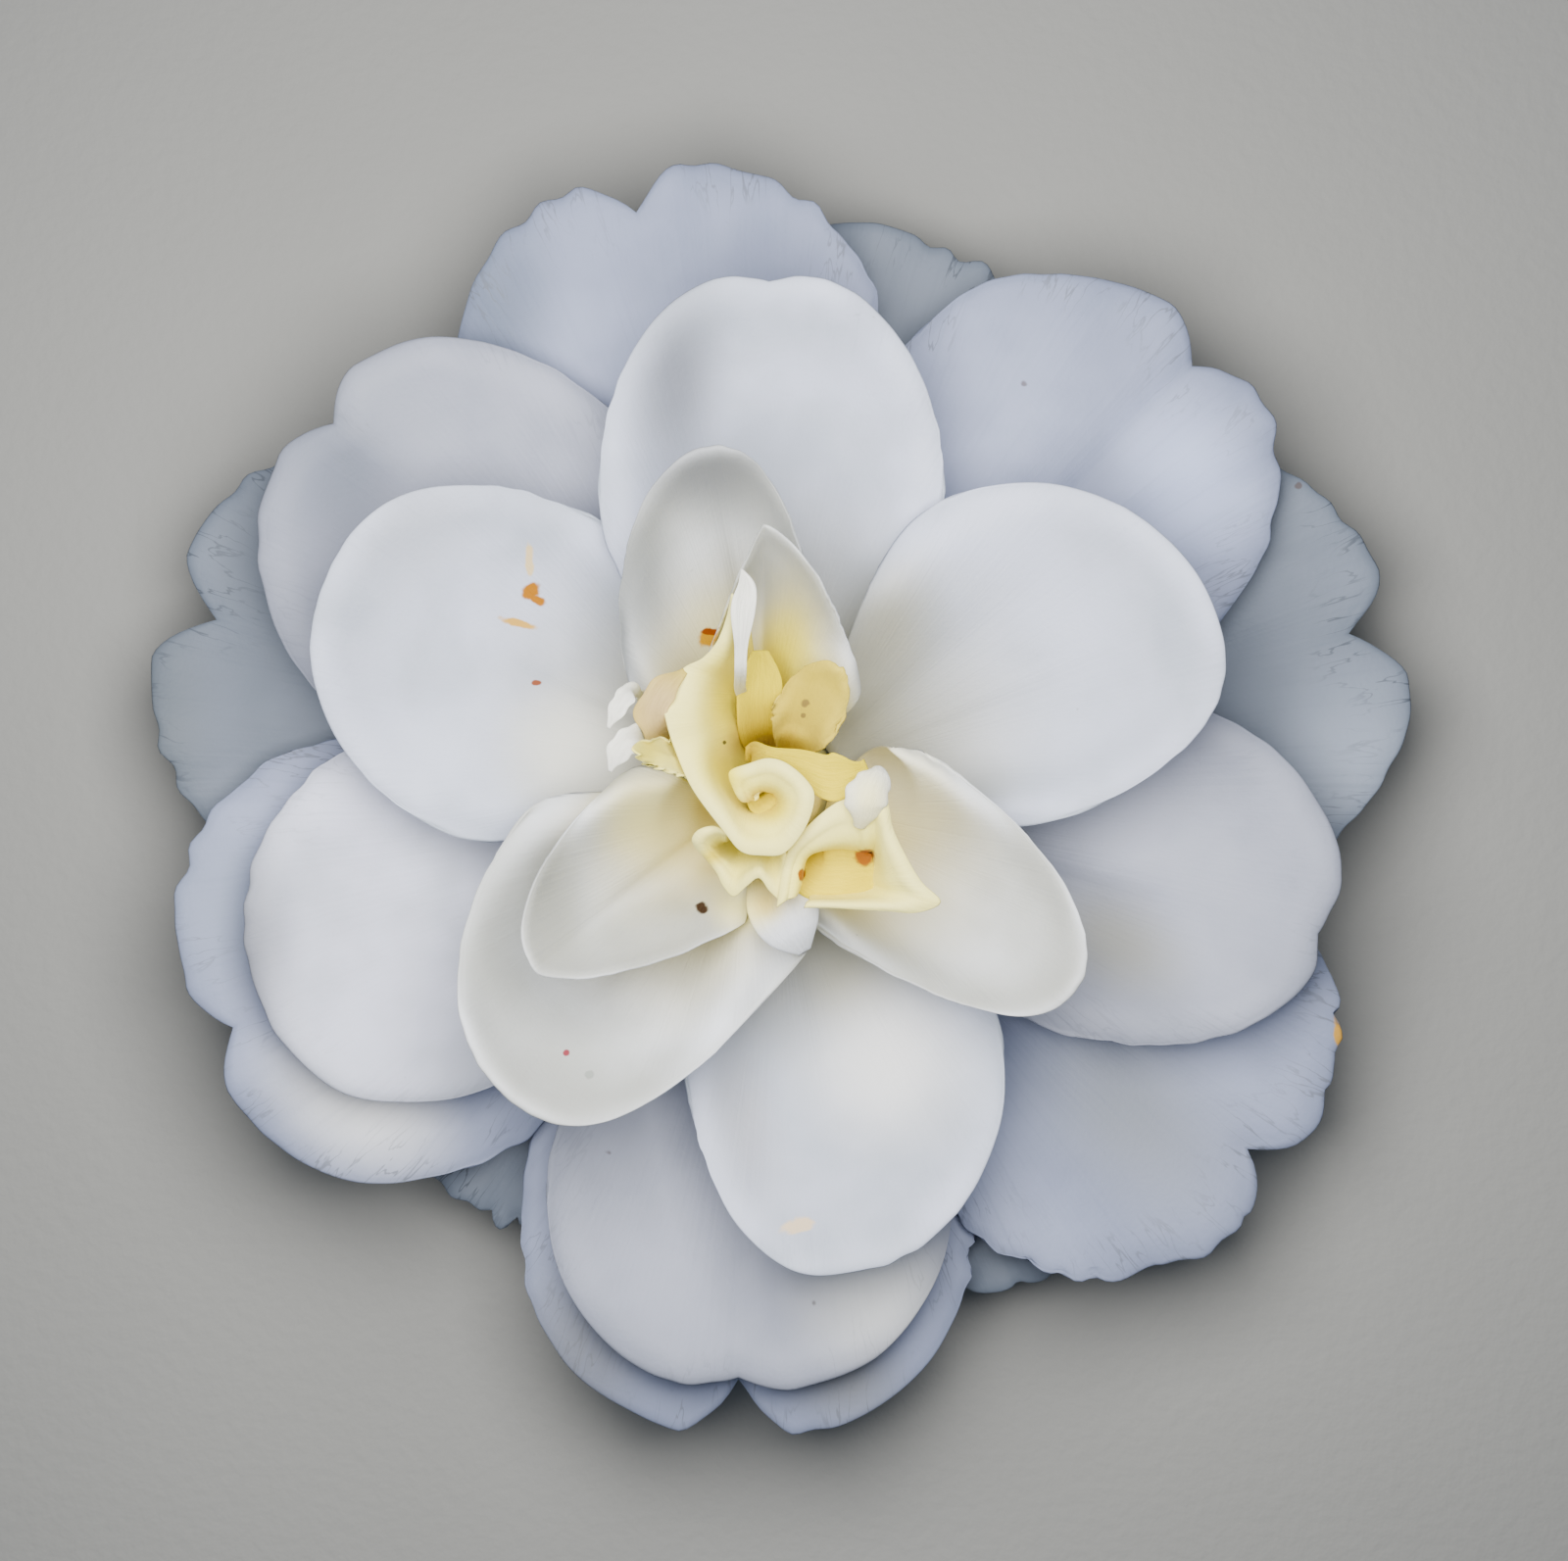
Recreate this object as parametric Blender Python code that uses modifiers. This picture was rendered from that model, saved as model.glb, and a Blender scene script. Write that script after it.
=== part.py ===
"""A white double camellia flower, as picked: it lies on its back and faces up.

The flower's axis is +Z and the origin is the middle of the stalk's cut face, which it rests on.
A receptacle carries everything: the calyx hugs it from below, and five rows of petals and a few
petaloids stand on its boss, each with a root edge a hair clear of the boss. Azimuths are degrees
anticlockwise from +X, seen from above, and lengths are millimetres until a mesh is made.
"""

import math

import bpy
import numpy as np

MM = 0.001
FLOWER = "camellia_flower"

# Blades
PETAL_THICKNESS = 0.6
ROOT_GAP = 0.5
LAY_GAP = 0.55
SMOOTHING = 4
ROWS = 8
COLUMNS = 10

# Receptacle: radius and height up the stalk stub, its swelling and the boss
STUB_RADIUS = 4.0
STUB_HEIGHT = 2.0
BOSS_FOOT = (7.35, 8.2)
BOSS_SHOULDER = (4.2, 14.6)
BOSS_TOP = 17.2
TURN_STEPS = 24


def remove_scene_objects():
    for item in list(bpy.data.objects):
        bpy.data.objects.remove(item, do_unlink=True)


def finish(name, colour, roughness):
    """A Principled material with one colour."""
    material = bpy.data.materials.new(name)
    material.use_nodes = True
    shader = material.node_tree.nodes["Principled BSDF"]
    shader.inputs["Base Color"].default_value = (*colour, 1.0)
    shader.inputs["Roughness"].default_value = roughness
    shader.inputs["Metallic"].default_value = 0.0
    material.diffuse_color = (*colour, 1.0)
    return material


def add_piece(name, points, faces, material, thickness=0.0):
    """A mesh object from points in millimetres; an open surface gets its thickness by Solidify."""
    mesh = bpy.data.meshes.new(name)
    mesh.from_pydata((np.asarray(points) * MM).tolist(), [], faces)
    mesh.materials.append(material)
    piece = bpy.data.objects.new(name, mesh)
    flower.objects.link(piece)
    if thickness:
        shell = piece.modifiers.new("thickness", "SOLIDIFY")
        shell.thickness = thickness * MM
        shell.offset = 0.0
        shell.use_quality_normals = True
    mesh.shade_smooth()
    return piece


def grid_triangles(rows, columns):
    """Faces of a rows x columns grid of cells, with the cells' diagonals mirrored across its middle."""
    corner = np.arange((rows + 1) * (columns + 1)).reshape(rows + 1, columns + 1)
    half = columns // 2
    left, right = corner[:, :half + 1], corner[:, half:]
    a, b, c, d = left[:-1, :-1], left[1:, :-1], left[1:, 1:], left[:-1, 1:]
    cells = [(a, b, d), (b, c, d)]
    a, b, c, d = right[:-1, :-1], right[1:, :-1], right[1:, 1:], right[:-1, 1:]
    cells += [(a, b, c), (a, c, d)]
    return np.concatenate([np.stack([k.ravel() for k in cell], 1) for cell in cells]).tolist()


# ---- receptacle --------------------------------------------------------------------------


def boss_radius(height):
    """Radius of the boss's cone at a height between its foot and its shoulder."""
    (low_r, low_z), (high_r, high_z) = BOSS_FOOT, BOSS_SHOULDER
    return low_r + (high_r - low_r) * (height - low_z) / (high_z - low_z)


def receptacle_profile():
    """Outline from the top of the boss down to the cut face, as (radius, height)."""
    dome = [
        (BOSS_SHOULDER[0] * math.sin(a), BOSS_SHOULDER[1] + (BOSS_TOP - BOSS_SHOULDER[1]) * math.cos(a))
        for a in np.radians([0, 25, 50, 72, 90])
    ]
    swell = [(BOSS_FOOT[0], BOSS_FOOT[1]), (6.9, 6.4), (5.6, 4.2), (STUB_RADIUS + 0.2, 2.6)]
    stub = [(STUB_RADIUS, STUB_HEIGHT), (STUB_RADIUS, 0.3), (STUB_RADIUS - 0.3, 0.0), (0.0, 0.0)]
    return dome + swell + stub


def make_receptacle(material):
    """Stalk stub, swelling and boss, turned in one piece about the flower's axis."""
    profile = [(radius, 0.0, height) for radius, height in receptacle_profile()]
    edges = [(i, i + 1) for i in range(len(profile) - 1)]
    mesh = bpy.data.meshes.new("receptacle")
    mesh.from_pydata((np.array(profile) * MM).tolist(), edges, [])
    mesh.materials.append(material)
    piece = bpy.data.objects.new("receptacle", mesh)
    flower.objects.link(piece)
    turn = piece.modifiers.new("turn", "SCREW")
    turn.steps = turn.render_steps = TURN_STEPS
    turn.use_merge_vertices = True
    turn.merge_threshold = 0.00005
    turn.use_smooth_shade = True
    return piece


# ---- petals ------------------------------------------------------------------------------

# Height of each row's roots: five rows on the cone of the boss, two rings on its dome
ROOT_HEIGHT = {"guard": 8.2, "second": 9.8, "third": 11.4, "inner": 13.0, "heart": 14.6}
DOME_ANGLE = {"core": 62.0, "petaloid": 38.0}
ROOT_HALF_ANGLE = {"core": 22.0, "petaloid": 15.0}


def root_place(row):
    """Radius and height of a row's root edge, a gap clear of the boss."""
    if row in ROOT_HEIGHT:
        return boss_radius(ROOT_HEIGHT[row]) + ROOT_GAP, ROOT_HEIGHT[row]
    angle = math.radians(DOME_ANGLE[row])
    rise = BOSS_TOP - BOSS_SHOULDER[1]
    radius, height = BOSS_SHOULDER[0] * math.sin(angle), BOSS_SHOULDER[1] + rise * math.cos(angle)
    return radius + ROOT_GAP * math.sin(angle), height + ROOT_GAP * math.cos(angle)


def spread_petal(row, azimuth, reach, ccw, cw, tip, shoulder=0.62, hips=(1.0, 1.0), closing=2.1,
                 bow=1.3, rim=1.0, stand=0.45, incurve=0.0, notch=0.0, notch_at=0.0, crease=0.0,
                 lean=0.0, rows=ROWS, columns=COLUMNS):
    """Mid-surface of a petal, as a grid of points from root to tip and from side to side.

    u runs from the root to the margin and v from one side to the other. In plan the root is an
    arc on the boss, the sides swell as a quarter sine, raised to the powers hips, to the half
    widths cw and ccw at the shoulder, and from there a superellipse closes the tip, less a
    notch. The height rises from the root's to the tip's as a power of the way out, and the
    margin stands up by rim.
    """
    root_r, root_z = root_place(row)
    length = reach - root_r
    u = np.linspace(0.0, 1.0, rows + 1)[:, None]
    even = np.linspace(-1.0, 1.0, columns + 1)[None, :]
    v = np.sign(even) * np.abs(np.sin(even * math.pi / 2)) ** 1.4
    v = v + notch_at * (1 - even**2)
    root_angle = v * math.radians(ROOT_HALF_ANGLE.get(row, 24.0))

    close = np.clip(1 - np.abs(v) ** (closing + 0.1), 0.0, None) ** (1 / closing)
    side = shoulder + (1 - shoulder) * close
    margin = 1 - (1 - u**4) * (1 - np.abs(v) ** 3.5 * np.clip(u / stand, 0, 1) ** 1.5)
    swell = np.sin(u * math.pi / 2) ** np.where(v < 0, *hips)
    half = (ccw + cw) / 2 * v + (ccw - cw) / 2 * v**2
    across = root_r * np.sin(root_angle) * (1 - swell) + half * swell
    along = root_r + (root_r * np.cos(root_angle) - root_r) * (1 - u) + length * u * side
    near = np.clip(1 - np.abs((v - notch_at) * (ccw + cw) / 2) / 4.5, 0, None)
    along = along - notch * near**1.5 * u**8

    fold = incurve * margin**2
    along_in = along - fold * length * 0.5 * u**2
    across_in = across * (1 - fold)
    way = np.clip((along - root_r) / length, 0, 1)
    height = root_z + (tip - rim - root_z) * way**bow + rim * margin
    height = height - crease * near * u**2

    turn = np.radians(azimuth + lean * (u - 0.7))
    x = along_in * np.cos(turn) - across_in * np.sin(turn)
    y = along_in * np.sin(turn) + across_in * np.cos(turn)
    return np.stack([x, y, height + 0 * x], axis=-1)


PETALS = {
    "guard_petal_1": dict(row="guard", azimuth=15, reach=51.6, ccw=17.5, cw=17.0, tip=10.5, notch=3.8),
    "guard_petal_2": dict(row="guard", azimuth=78, reach=45.8, ccw=15.0, cw=15.0, tip=8.6),
    "guard_petal_3": dict(row="guard", azimuth=163, reach=50.3, ccw=17.5, cw=17.0, tip=10.0, notch=4.4),
    "guard_petal_4": dict(row="guard", azimuth=232, reach=41.3, ccw=12.0, cw=12.0, tip=8.0),
    "guard_petal_5": dict(row="guard", azimuth=300, reach=44.8, ccw=13.0, cw=13.0, tip=8.2),
    "second_petal_1": dict(row="second", azimuth=267, reach=51.0, ccw=18.0, cw=18.0, tip=13.5, notch=4.2),
    "second_petal_2": dict(row="second", azimuth=323, reach=51.0, ccw=18.2, cw=18.4, tip=12.5, notch=3.0),
    "second_petal_3": dict(row="second", azimuth=45, reach=49.5, ccw=17.3, cw=15.8, tip=14.5, notch=2.4,
                           crease=1.2),
    "second_petal_4": dict(row="second", azimuth=103, reach=49.8, ccw=17.2, cw=17.0, tip=14.0, notch=3.4),
    "second_petal_5": dict(row="second", azimuth=204, reach=48.6, ccw=17.8, cw=18.0, tip=15.5, notch=2.8),
    "third_petal_1": dict(row="third", azimuth=267, reach=46.8, ccw=16.0, cw=15.7, tip=19.0, bow=1.5,
                          rim=2.5, notch=1.2, crease=0.6),
    "third_petal_2": dict(row="third", azimuth=347, reach=45.0, ccw=14.0, cw=13.4, tip=19.0, bow=1.5,
                          rim=3.0, notch=1.0, notch_at=-0.1, shoulder=0.55),
    "third_petal_3": dict(row="third", azimuth=140, reach=46.3, ccw=17.2, cw=14.8, tip=19.0, bow=1.5,
                          rim=2.5, notch=2.4, shoulder=0.55),
    "third_petal_4": dict(row="third", azimuth=203, reach=42.5, ccw=13.0, cw=15.6, tip=20.0, bow=1.5,
                          rim=3.0, shoulder=0.58),
    "inner_petal_1": dict(row="inner", azimuth=153, reach=37.0, ccw=14.3, cw=12.4, tip=28.0, bow=1.6,
                          rim=5.5, shoulder=0.5),
    "inner_petal_2": dict(row="inner", azimuth=90, reach=39.2, ccw=13.0, cw=13.5, tip=27.0, bow=1.6,
                          rim=5.0, notch=0.8, shoulder=0.5),
    "inner_petal_3": dict(row="inner", azimuth=22, reach=36.2, ccw=15.5, cw=10.6, tip=28.0, bow=1.6,
                          rim=5.5, shoulder=0.5),
    "inner_petal_4": dict(row="inner", azimuth=280, reach=37.0, ccw=14.3, cw=10.2, tip=28.0, bow=1.6,
                          rim=5.5, shoulder=0.5),
    "heart_petal_1": dict(row="heart", azimuth=230, reach=30.6, ccw=10.8, cw=13.8, tip=36.0, bow=1.7,
                          rim=9.0, shoulder=0.35, incurve=0.06, hips=(0.8, 0.45), stand=0.3),
    "heart_petal_2": dict(row="heart", azimuth=327, reach=28.2, ccw=9.8, cw=7.6, tip=34.0, bow=1.7,
                          rim=9.0, shoulder=0.22, incurve=0.08, hips=(0.6, 0.45), stand=0.3),
    "heart_petal_3": dict(row="heart", azimuth=100, reach=26.2, ccw=9.6, cw=8.0, tip=35.0, bow=1.6,
                          rim=9.0, shoulder=0.3, incurve=0.05, hips=(1.0, 0.5), stand=0.3),
    "core_petal_1": dict(row="core", azimuth=216, reach=21.8, ccw=7.8, cw=7.6, tip=35.0, bow=1.6,
                         rim=9.0, shoulder=0.2, hips=(1.0, 0.7), lean=8, stand=0.3),
    "core_petal_2": dict(row="core", azimuth=91, reach=19.4, ccw=5.4, cw=7.0, tip=37.0, bow=1.3,
                         rim=9.0, shoulder=0.2, closing=1.5, hips=(0.7, 1.0), stand=0.4),
}

# Petaloids that stand on the dome as narrow petals
BLADES = {
    "petaloid_1": dict(row="petaloid", azimuth=62, reach=10.6, ccw=3.0, cw=3.4, tip=31.0, bow=0.8,
                       rim=3.0, shoulder=0.4),
    "petaloid_2": dict(row="petaloid", azimuth=14, reach=7.4, ccw=1.3, cw=1.2, tip=32.5, bow=0.55,
                       rim=0.0, shoulder=0.85),
    "petaloid_3": dict(row="petaloid", azimuth=101, reach=15.6, ccw=0.9, cw=0.9, tip=36.5, bow=0.6,
                       rim=0.0, shoulder=0.6, lean=-14),
    "petaloid_4": dict(row="petaloid", azimuth=162, reach=12.0, ccw=2.2, cw=2.3, tip=34.0, bow=1.4,
                       rim=2.0, shoulder=0.7),
    "petaloid_5": dict(row="petaloid", azimuth=246, reach=8.0, ccw=2.8, cw=3.4, tip=29.0, bow=0.6,
                       rim=2.0, shoulder=0.6),
}
BLADE_ROWS = 6
BLADE_COLUMNS = 6

# Petaloids rolled into a funnel or a curl: the foot that they shrink to and their upper margin
ROLLS = {
    "petaloid_funnel": dict(
        foot=(1.75, -1.65), root=0.16, flare=0.9,
        margin=[(4.0, -2.0, 31), (2.3, -4.4, 31), (1.5, -8.3, 31), (6.5, -9.3, 32), (12.2, -9.0, 33),
                (9.8, -4.8, 33.5), (8.9, -1.2, 34), (7.6, -0.9, 34), (5.8, -2.4, 32.5)]),
    "petaloid_curl": dict(
        foot=(0.3, -0.5), root=0.22, flare=1.3,
        margin=[(-2.5, 0.4, 32), (-2.3, 2.0, 33), (-0.6, 2.7, 34), (1.5, 2.0, 34), (3.1, 0.0, 34),
                (3.2, -2.5, 34), (1.1, -4.3, 34), (-1.4, -3.2, 34), (-3.9, -1.2, 34), (-6.0, 1.5, 33),
                (-7.3, 4.3, 33), (-7.1, 7.6, 33)]),
}


def smooth_path(corners, count):
    """Points evenly spaced in parameter on a Catmull-Rom curve through the corners."""
    corners = np.asarray(corners, float)
    ends = 2 * corners[[0, -1]] - corners[[1, -2]]
    p = np.concatenate([ends[:1], corners, ends[1:]])
    at = np.linspace(0, len(corners) - 1, count)
    k = np.minimum(at.astype(int), len(corners) - 2)
    t = (at - k)[:, None]
    a, b, c, d = p[k], p[k + 1], p[k + 2], p[k + 3]
    return 0.5 * (2 * b + (c - a) * t + (2 * a - 5 * b + 4 * c - d) * t**2 + (3 * b - a - 3 * c + d) * t**3)


def rolled_petaloid(foot, root, flare, margin, rows=5, columns=22):
    """Sheet from a small copy of its margin, round the foot on the dome, up to the margin itself."""
    u = np.linspace(0.0, 1.0, rows + 1)[:, None]
    edge = smooth_path(margin, columns + 1)[None, :, :]
    grow = root + (1 - root) * u**flare
    x = foot[0] + (edge[..., 0] - foot[0]) * grow
    y = foot[1] + (edge[..., 1] - foot[1]) * grow
    reach = np.hypot(x[:1], y[:1]) / BOSS_SHOULDER[0]
    dome = BOSS_SHOULDER[1] + (BOSS_TOP - BOSS_SHOULDER[1]) * np.sqrt(np.clip(1 - reach**2, 0.05, None))
    start = dome + ROOT_GAP
    z = start + (edge[..., 2] - start) * u
    return np.stack([x, y, z], axis=-1)


# ---- calyx -------------------------------------------------------------------------------

SEPAL_THICKNESS = 0.8
CALYX_GAP = 0.42
CALYX_FOOT = 2.4
CALYX_TOP = 5.3
CALYX_COLUMNS = 60
# Five large sepals over four small bracts: azimuth of the first's middle, number, radius between
# two neighbours, reach of each, and how far one side stands over its neighbour
SEPALS = dict(first=12, count=5, low=9.8, reach=13.4, tilt=0.6)
BRACTS = dict(first=39, count=4, low=7.8, reach=10.0, tilt=0.25)
SEPAL_ROOT = (6.9, 4.9)
SEPAL_TIP = 7.0


def swell_radius(height):
    """Radius of the receptacle below the boss at a height."""
    below = sorted((z, r) for r, z in receptacle_profile() if z <= BOSS_FOOT[1] and r > 0)
    return float(np.interp(height, [z for z, _ in below], [r for _, r in below]))


def scale_margin(azimuth, first, count, low, reach, tilt):
    """Margin radius and sideways tilt of a ring of rounded scales, at each azimuth."""
    across = ((azimuth - first) * count / 180 + 1) % 2 - 1
    return low + (reach - low) * np.sqrt(1 - np.abs(across) ** 2.4), tilt * across


def make_calyx(material):
    """Cup of sepals and bracts that hugs the receptacle: one closed section at each azimuth, lofted.

    Each section runs up its inner wall, out along the top to the sepal's margin, back along its
    underside to the bract's margin, and in along the bract to the foot.
    """
    azimuth = (np.arange(CALYX_COLUMNS) + 0.5) * 360 / CALYX_COLUMNS
    sepal, sepal_tilt = scale_margin(azimuth, **SEPALS)
    bract, bract_tilt = scale_margin(azimuth, **BRACTS)
    half = SEPAL_THICKNESS / 2

    def sepal_height(radius):
        out = np.clip((radius - SEPAL_ROOT[0]) / (SEPALS["reach"] - SEPAL_ROOT[0]), 0, None)
        return SEPAL_ROOT[1] + (SEPAL_TIP - SEPAL_ROOT[1]) * out**0.9 + sepal_tilt * out

    def level(radius, height):
        return np.stack([radius + 0 * azimuth, height + 0 * azimuth], axis=-1)

    wall = [level(swell_radius(z) + CALYX_GAP, z) for z in (CALYX_FOOT, 3.8, CALYX_TOP)]
    top = [level(r, sepal_height(r) + half) for r in (0.35 * sepal + 0.65 * wall[-1][:, 0] + 0.3,
                                                      0.7 * sepal + 0.3 * wall[-1][:, 0], sepal)]
    below = [level(r, sepal_height(r) - half) for r in (sepal - 0.05, 0.5 * (sepal + bract) + 0.1,
                                                        bract + 0.1)]
    foot = swell_radius(CALYX_FOOT) + CALYX_GAP
    edge = sepal_height(bract) - half - SEPAL_THICKNESS + bract_tilt
    under = [level(foot + (bract - foot) * k, CALYX_FOOT - 0.2 + (edge - CALYX_FOOT + 0.2) * k**1.3)
             for k in (1.0, 0.65, 0.35)]
    sections = np.stack(wall + top + below + under, axis=1)
    turn = np.radians(azimuth)[:, None]
    points = np.stack([sections[..., 0] * np.cos(turn), sections[..., 0] * np.sin(turn),
                       sections[..., 1]], axis=-1)
    columns, count = sections.shape[:2]
    corner = np.arange(columns * count).reshape(columns, count)
    following = np.roll(corner, -1, axis=0)
    faces = np.stack([corner, np.roll(corner, -1, axis=1), np.roll(following, -1, axis=1), following],
                     axis=-1)
    return add_piece("calyx", points.reshape(-1, 3), faces.reshape(-1, 4).tolist(), material)


# ---- laying the petals on each other -----------------------------------------------------


class Pile:
    """Height of the highest mid-surface so far over each small square of the plan."""

    PITCH = 0.6
    HALF = 56.0
    FINE = 12

    def __init__(self):
        count = int(2 * self.HALF / self.PITCH) + 1
        self.top = np.full((count, count), -100.0)

    def cells(self, points):
        place = np.rint((points[..., :2] + self.HALF) / self.PITCH).astype(int)
        return place[..., 0], place[..., 1]

    def refine(self, grid):
        """The grid with FINE points for each cell side, by straight interpolation."""
        for axis in (0, 1):
            count = grid.shape[axis]
            at = np.linspace(0, count - 1, (count - 1) * self.FINE + 1)
            low = np.minimum(at.astype(int), count - 2)
            share = (at - low).reshape([-1 if k == axis else 1 for k in range(grid.ndim)])
            grid = np.take(grid, low, axis) * (1 - share) + np.take(grid, low + 1, axis) * share
        return grid

    def lay(self, points, keep=True):
        """The petal raised, root excepted, until it lies clear on what is below, and kept here."""
        fine = self.refine(points)
        du, dv = np.gradient(fine, axis=(0, 1))
        normal = np.cross(du, dv)
        upright = np.abs(normal[..., 2]) / np.maximum(np.linalg.norm(normal, axis=-1), 1e-9)
        apart = (PETAL_THICKNESS + LAY_GAP) / np.maximum(upright, 0.35)
        i, j = self.cells(fine)
        below = np.max([self.top[i + a, j + b] for a in (-1, 0, 1) for b in (-1, 0, 1)], axis=0)
        need = below + apart - fine[..., 2]
        rows, columns = points.shape[:2]
        lift = np.zeros((rows, columns))
        for a in range(rows):
            for b in range(columns):
                patch = need[max(0, (a - 1) * self.FINE):(a + 1) * self.FINE + 1,
                             max(0, (b - 1) * self.FINE):(b + 1) * self.FINE + 1]
                lift[a, b] = max(0.0, patch.max())
        for _ in range(SMOOTHING):
            wide = np.pad(lift, 1, mode="edge")
            lift = (wide[:-2, 1:-1] + wide[2:, 1:-1] + wide[1:-1, :-2] + wide[1:-1, 2:] + 4 * lift) / 8
        lift[0] = 0.0
        raised = points.copy()
        raised[..., 2] += lift
        if keep:
            fine = self.refine(raised)
            np.maximum.at(self.top, self.cells(fine), fine[..., 2])
        return raised


remove_scene_objects()
flower = bpy.data.collections.new(FLOWER)
bpy.context.scene.collection.children.link(flower)

stalk_green = finish("stalk_green", (0.36, 0.42, 0.16), 0.6)
sepal_green = finish("sepal_green", (0.40, 0.47, 0.18), 0.6)
petal_white = finish("petal_white", (0.82, 0.83, 0.86), 0.5)
petaloid_cream = finish("petaloid_cream", (0.86, 0.80, 0.50), 0.5)

make_receptacle(stalk_green)
make_calyx(sepal_green)
pile = Pile()
for name, form in PETALS.items():
    laid = pile.lay(spread_petal(**form))
    add_piece(name, laid.reshape(-1, 3), grid_triangles(ROWS, COLUMNS), petal_white, PETAL_THICKNESS)
for name, form in BLADES.items():
    blade = pile.lay(spread_petal(**form, rows=BLADE_ROWS, columns=BLADE_COLUMNS), keep=False)
    add_piece(name, blade.reshape(-1, 3), grid_triangles(BLADE_ROWS, BLADE_COLUMNS), petaloid_cream,
              PETAL_THICKNESS)
for name, form in ROLLS.items():
    roll = rolled_petaloid(**form)
    rows, columns = roll.shape[0] - 1, roll.shape[1] - 1
    add_piece(name, roll.reshape(-1, 3), grid_triangles(rows, columns), petaloid_cream, PETAL_THICKNESS)
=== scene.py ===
# A white double camellia flower, as picked, lying on its back on a pale table top.
# Petals, petaloids, sepals and the stalk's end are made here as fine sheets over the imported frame.
# Shapes are worked out in millimetres and go into the meshes in metres.
import math

import bpy
import numpy as np
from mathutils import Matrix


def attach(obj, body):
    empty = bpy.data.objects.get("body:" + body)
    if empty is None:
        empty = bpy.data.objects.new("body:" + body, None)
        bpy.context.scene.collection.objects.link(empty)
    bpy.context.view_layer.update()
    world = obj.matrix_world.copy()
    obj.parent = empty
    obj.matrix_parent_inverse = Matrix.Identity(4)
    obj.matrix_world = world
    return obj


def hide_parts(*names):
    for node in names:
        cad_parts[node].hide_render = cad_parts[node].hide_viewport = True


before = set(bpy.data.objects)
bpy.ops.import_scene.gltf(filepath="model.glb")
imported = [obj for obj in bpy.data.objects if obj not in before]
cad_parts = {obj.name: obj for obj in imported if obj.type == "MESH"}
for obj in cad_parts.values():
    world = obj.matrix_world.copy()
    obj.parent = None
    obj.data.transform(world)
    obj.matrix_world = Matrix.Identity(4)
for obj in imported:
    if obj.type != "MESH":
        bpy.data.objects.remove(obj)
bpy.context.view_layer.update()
MM = 0.001


# ---- Camera ------------------------------------------------------------------------------
# The camera looks straight down on the flower's face from about a third of a metre.

camera = bpy.data.objects.new("camera", bpy.data.cameras.new("camera"))
camera.location = (1.15 * MM, 0.65 * MM, 354 * MM)
camera.data.lens = 100
camera.data.sensor_width = 36
camera.data.clip_start = 0.01
bpy.context.scene.collection.objects.link(camera)
bpy.context.scene.camera = camera


# ---- Light -------------------------------------------------------------------------------
# A broad soft light hangs over the flower, a little towards the top of the view, in a dim
# even room with a cool cast.


def soft_light(name, place, aim, size, power, colour):
    """A square area light at a place, turned towards the point aim."""
    light = bpy.data.lights.new(name, "AREA")
    light.size = size
    light.energy = power
    light.color = colour
    lamp = bpy.data.objects.new(name, light)
    way = np.array(aim) - np.array(place)
    lamp.rotation_euler = (math.atan2(math.hypot(way[0], way[1]), -way[2]), 0,
                           math.atan2(-way[0], way[1]))
    lamp.location = place
    lamp.visible_camera = False
    bpy.context.scene.collection.objects.link(lamp)


LAMP_PLACE, LAMP_AIM = (-0.006, 0.019, 0.135), (0, 0, 0.01)
LAMP_SIZE, LAMP_POWER = 0.105, 0.49
LAMP_COLOUR = (1.0, 0.985, 0.95)
ROOM_COLOUR = (0.60, 0.76, 1.0, 1)
ROOM_STRENGTH = 0.18
soft_light("sky_light", LAMP_PLACE, LAMP_AIM, LAMP_SIZE, LAMP_POWER, LAMP_COLOUR)
room = bpy.data.worlds.new("dim_room")
room.use_nodes = True
room.node_tree.nodes["Background"].inputs[0].default_value = ROOM_COLOUR
room.node_tree.nodes["Background"].inputs[1].default_value = ROOM_STRENGTH
bpy.context.scene.world = room


# ---- Table top ---------------------------------------------------------------------------
# A plain pale sheet of matt board that the flower lies on. It is only a backdrop, with a faint
# mottle of its own, and the flower's cut face rests on it at height nought.


class Dial:
    """A number that varies over a surface. Sums and products of dials add Math nodes."""

    def __init__(self, finish, socket):
        self.finish = finish
        self.socket = socket

    def math(self, operation, first, second=0.0):
        node = self.finish.node("ShaderNodeMath", {"operation": operation}, {0: first, 1: second})
        return Dial(self.finish, node.outputs[0])

    def __add__(self, other):
        return self.math("ADD", self, other)

    def __sub__(self, other):
        return self.math("SUBTRACT", self, other)

    def __rsub__(self, other):
        return self.math("SUBTRACT", other, self)

    def __mul__(self, other):
        return self.math("MULTIPLY", self, other)

    def __abs__(self):
        return self.math("ABSOLUTE", self)

    __radd__ = __add__
    __rmul__ = __mul__


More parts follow.
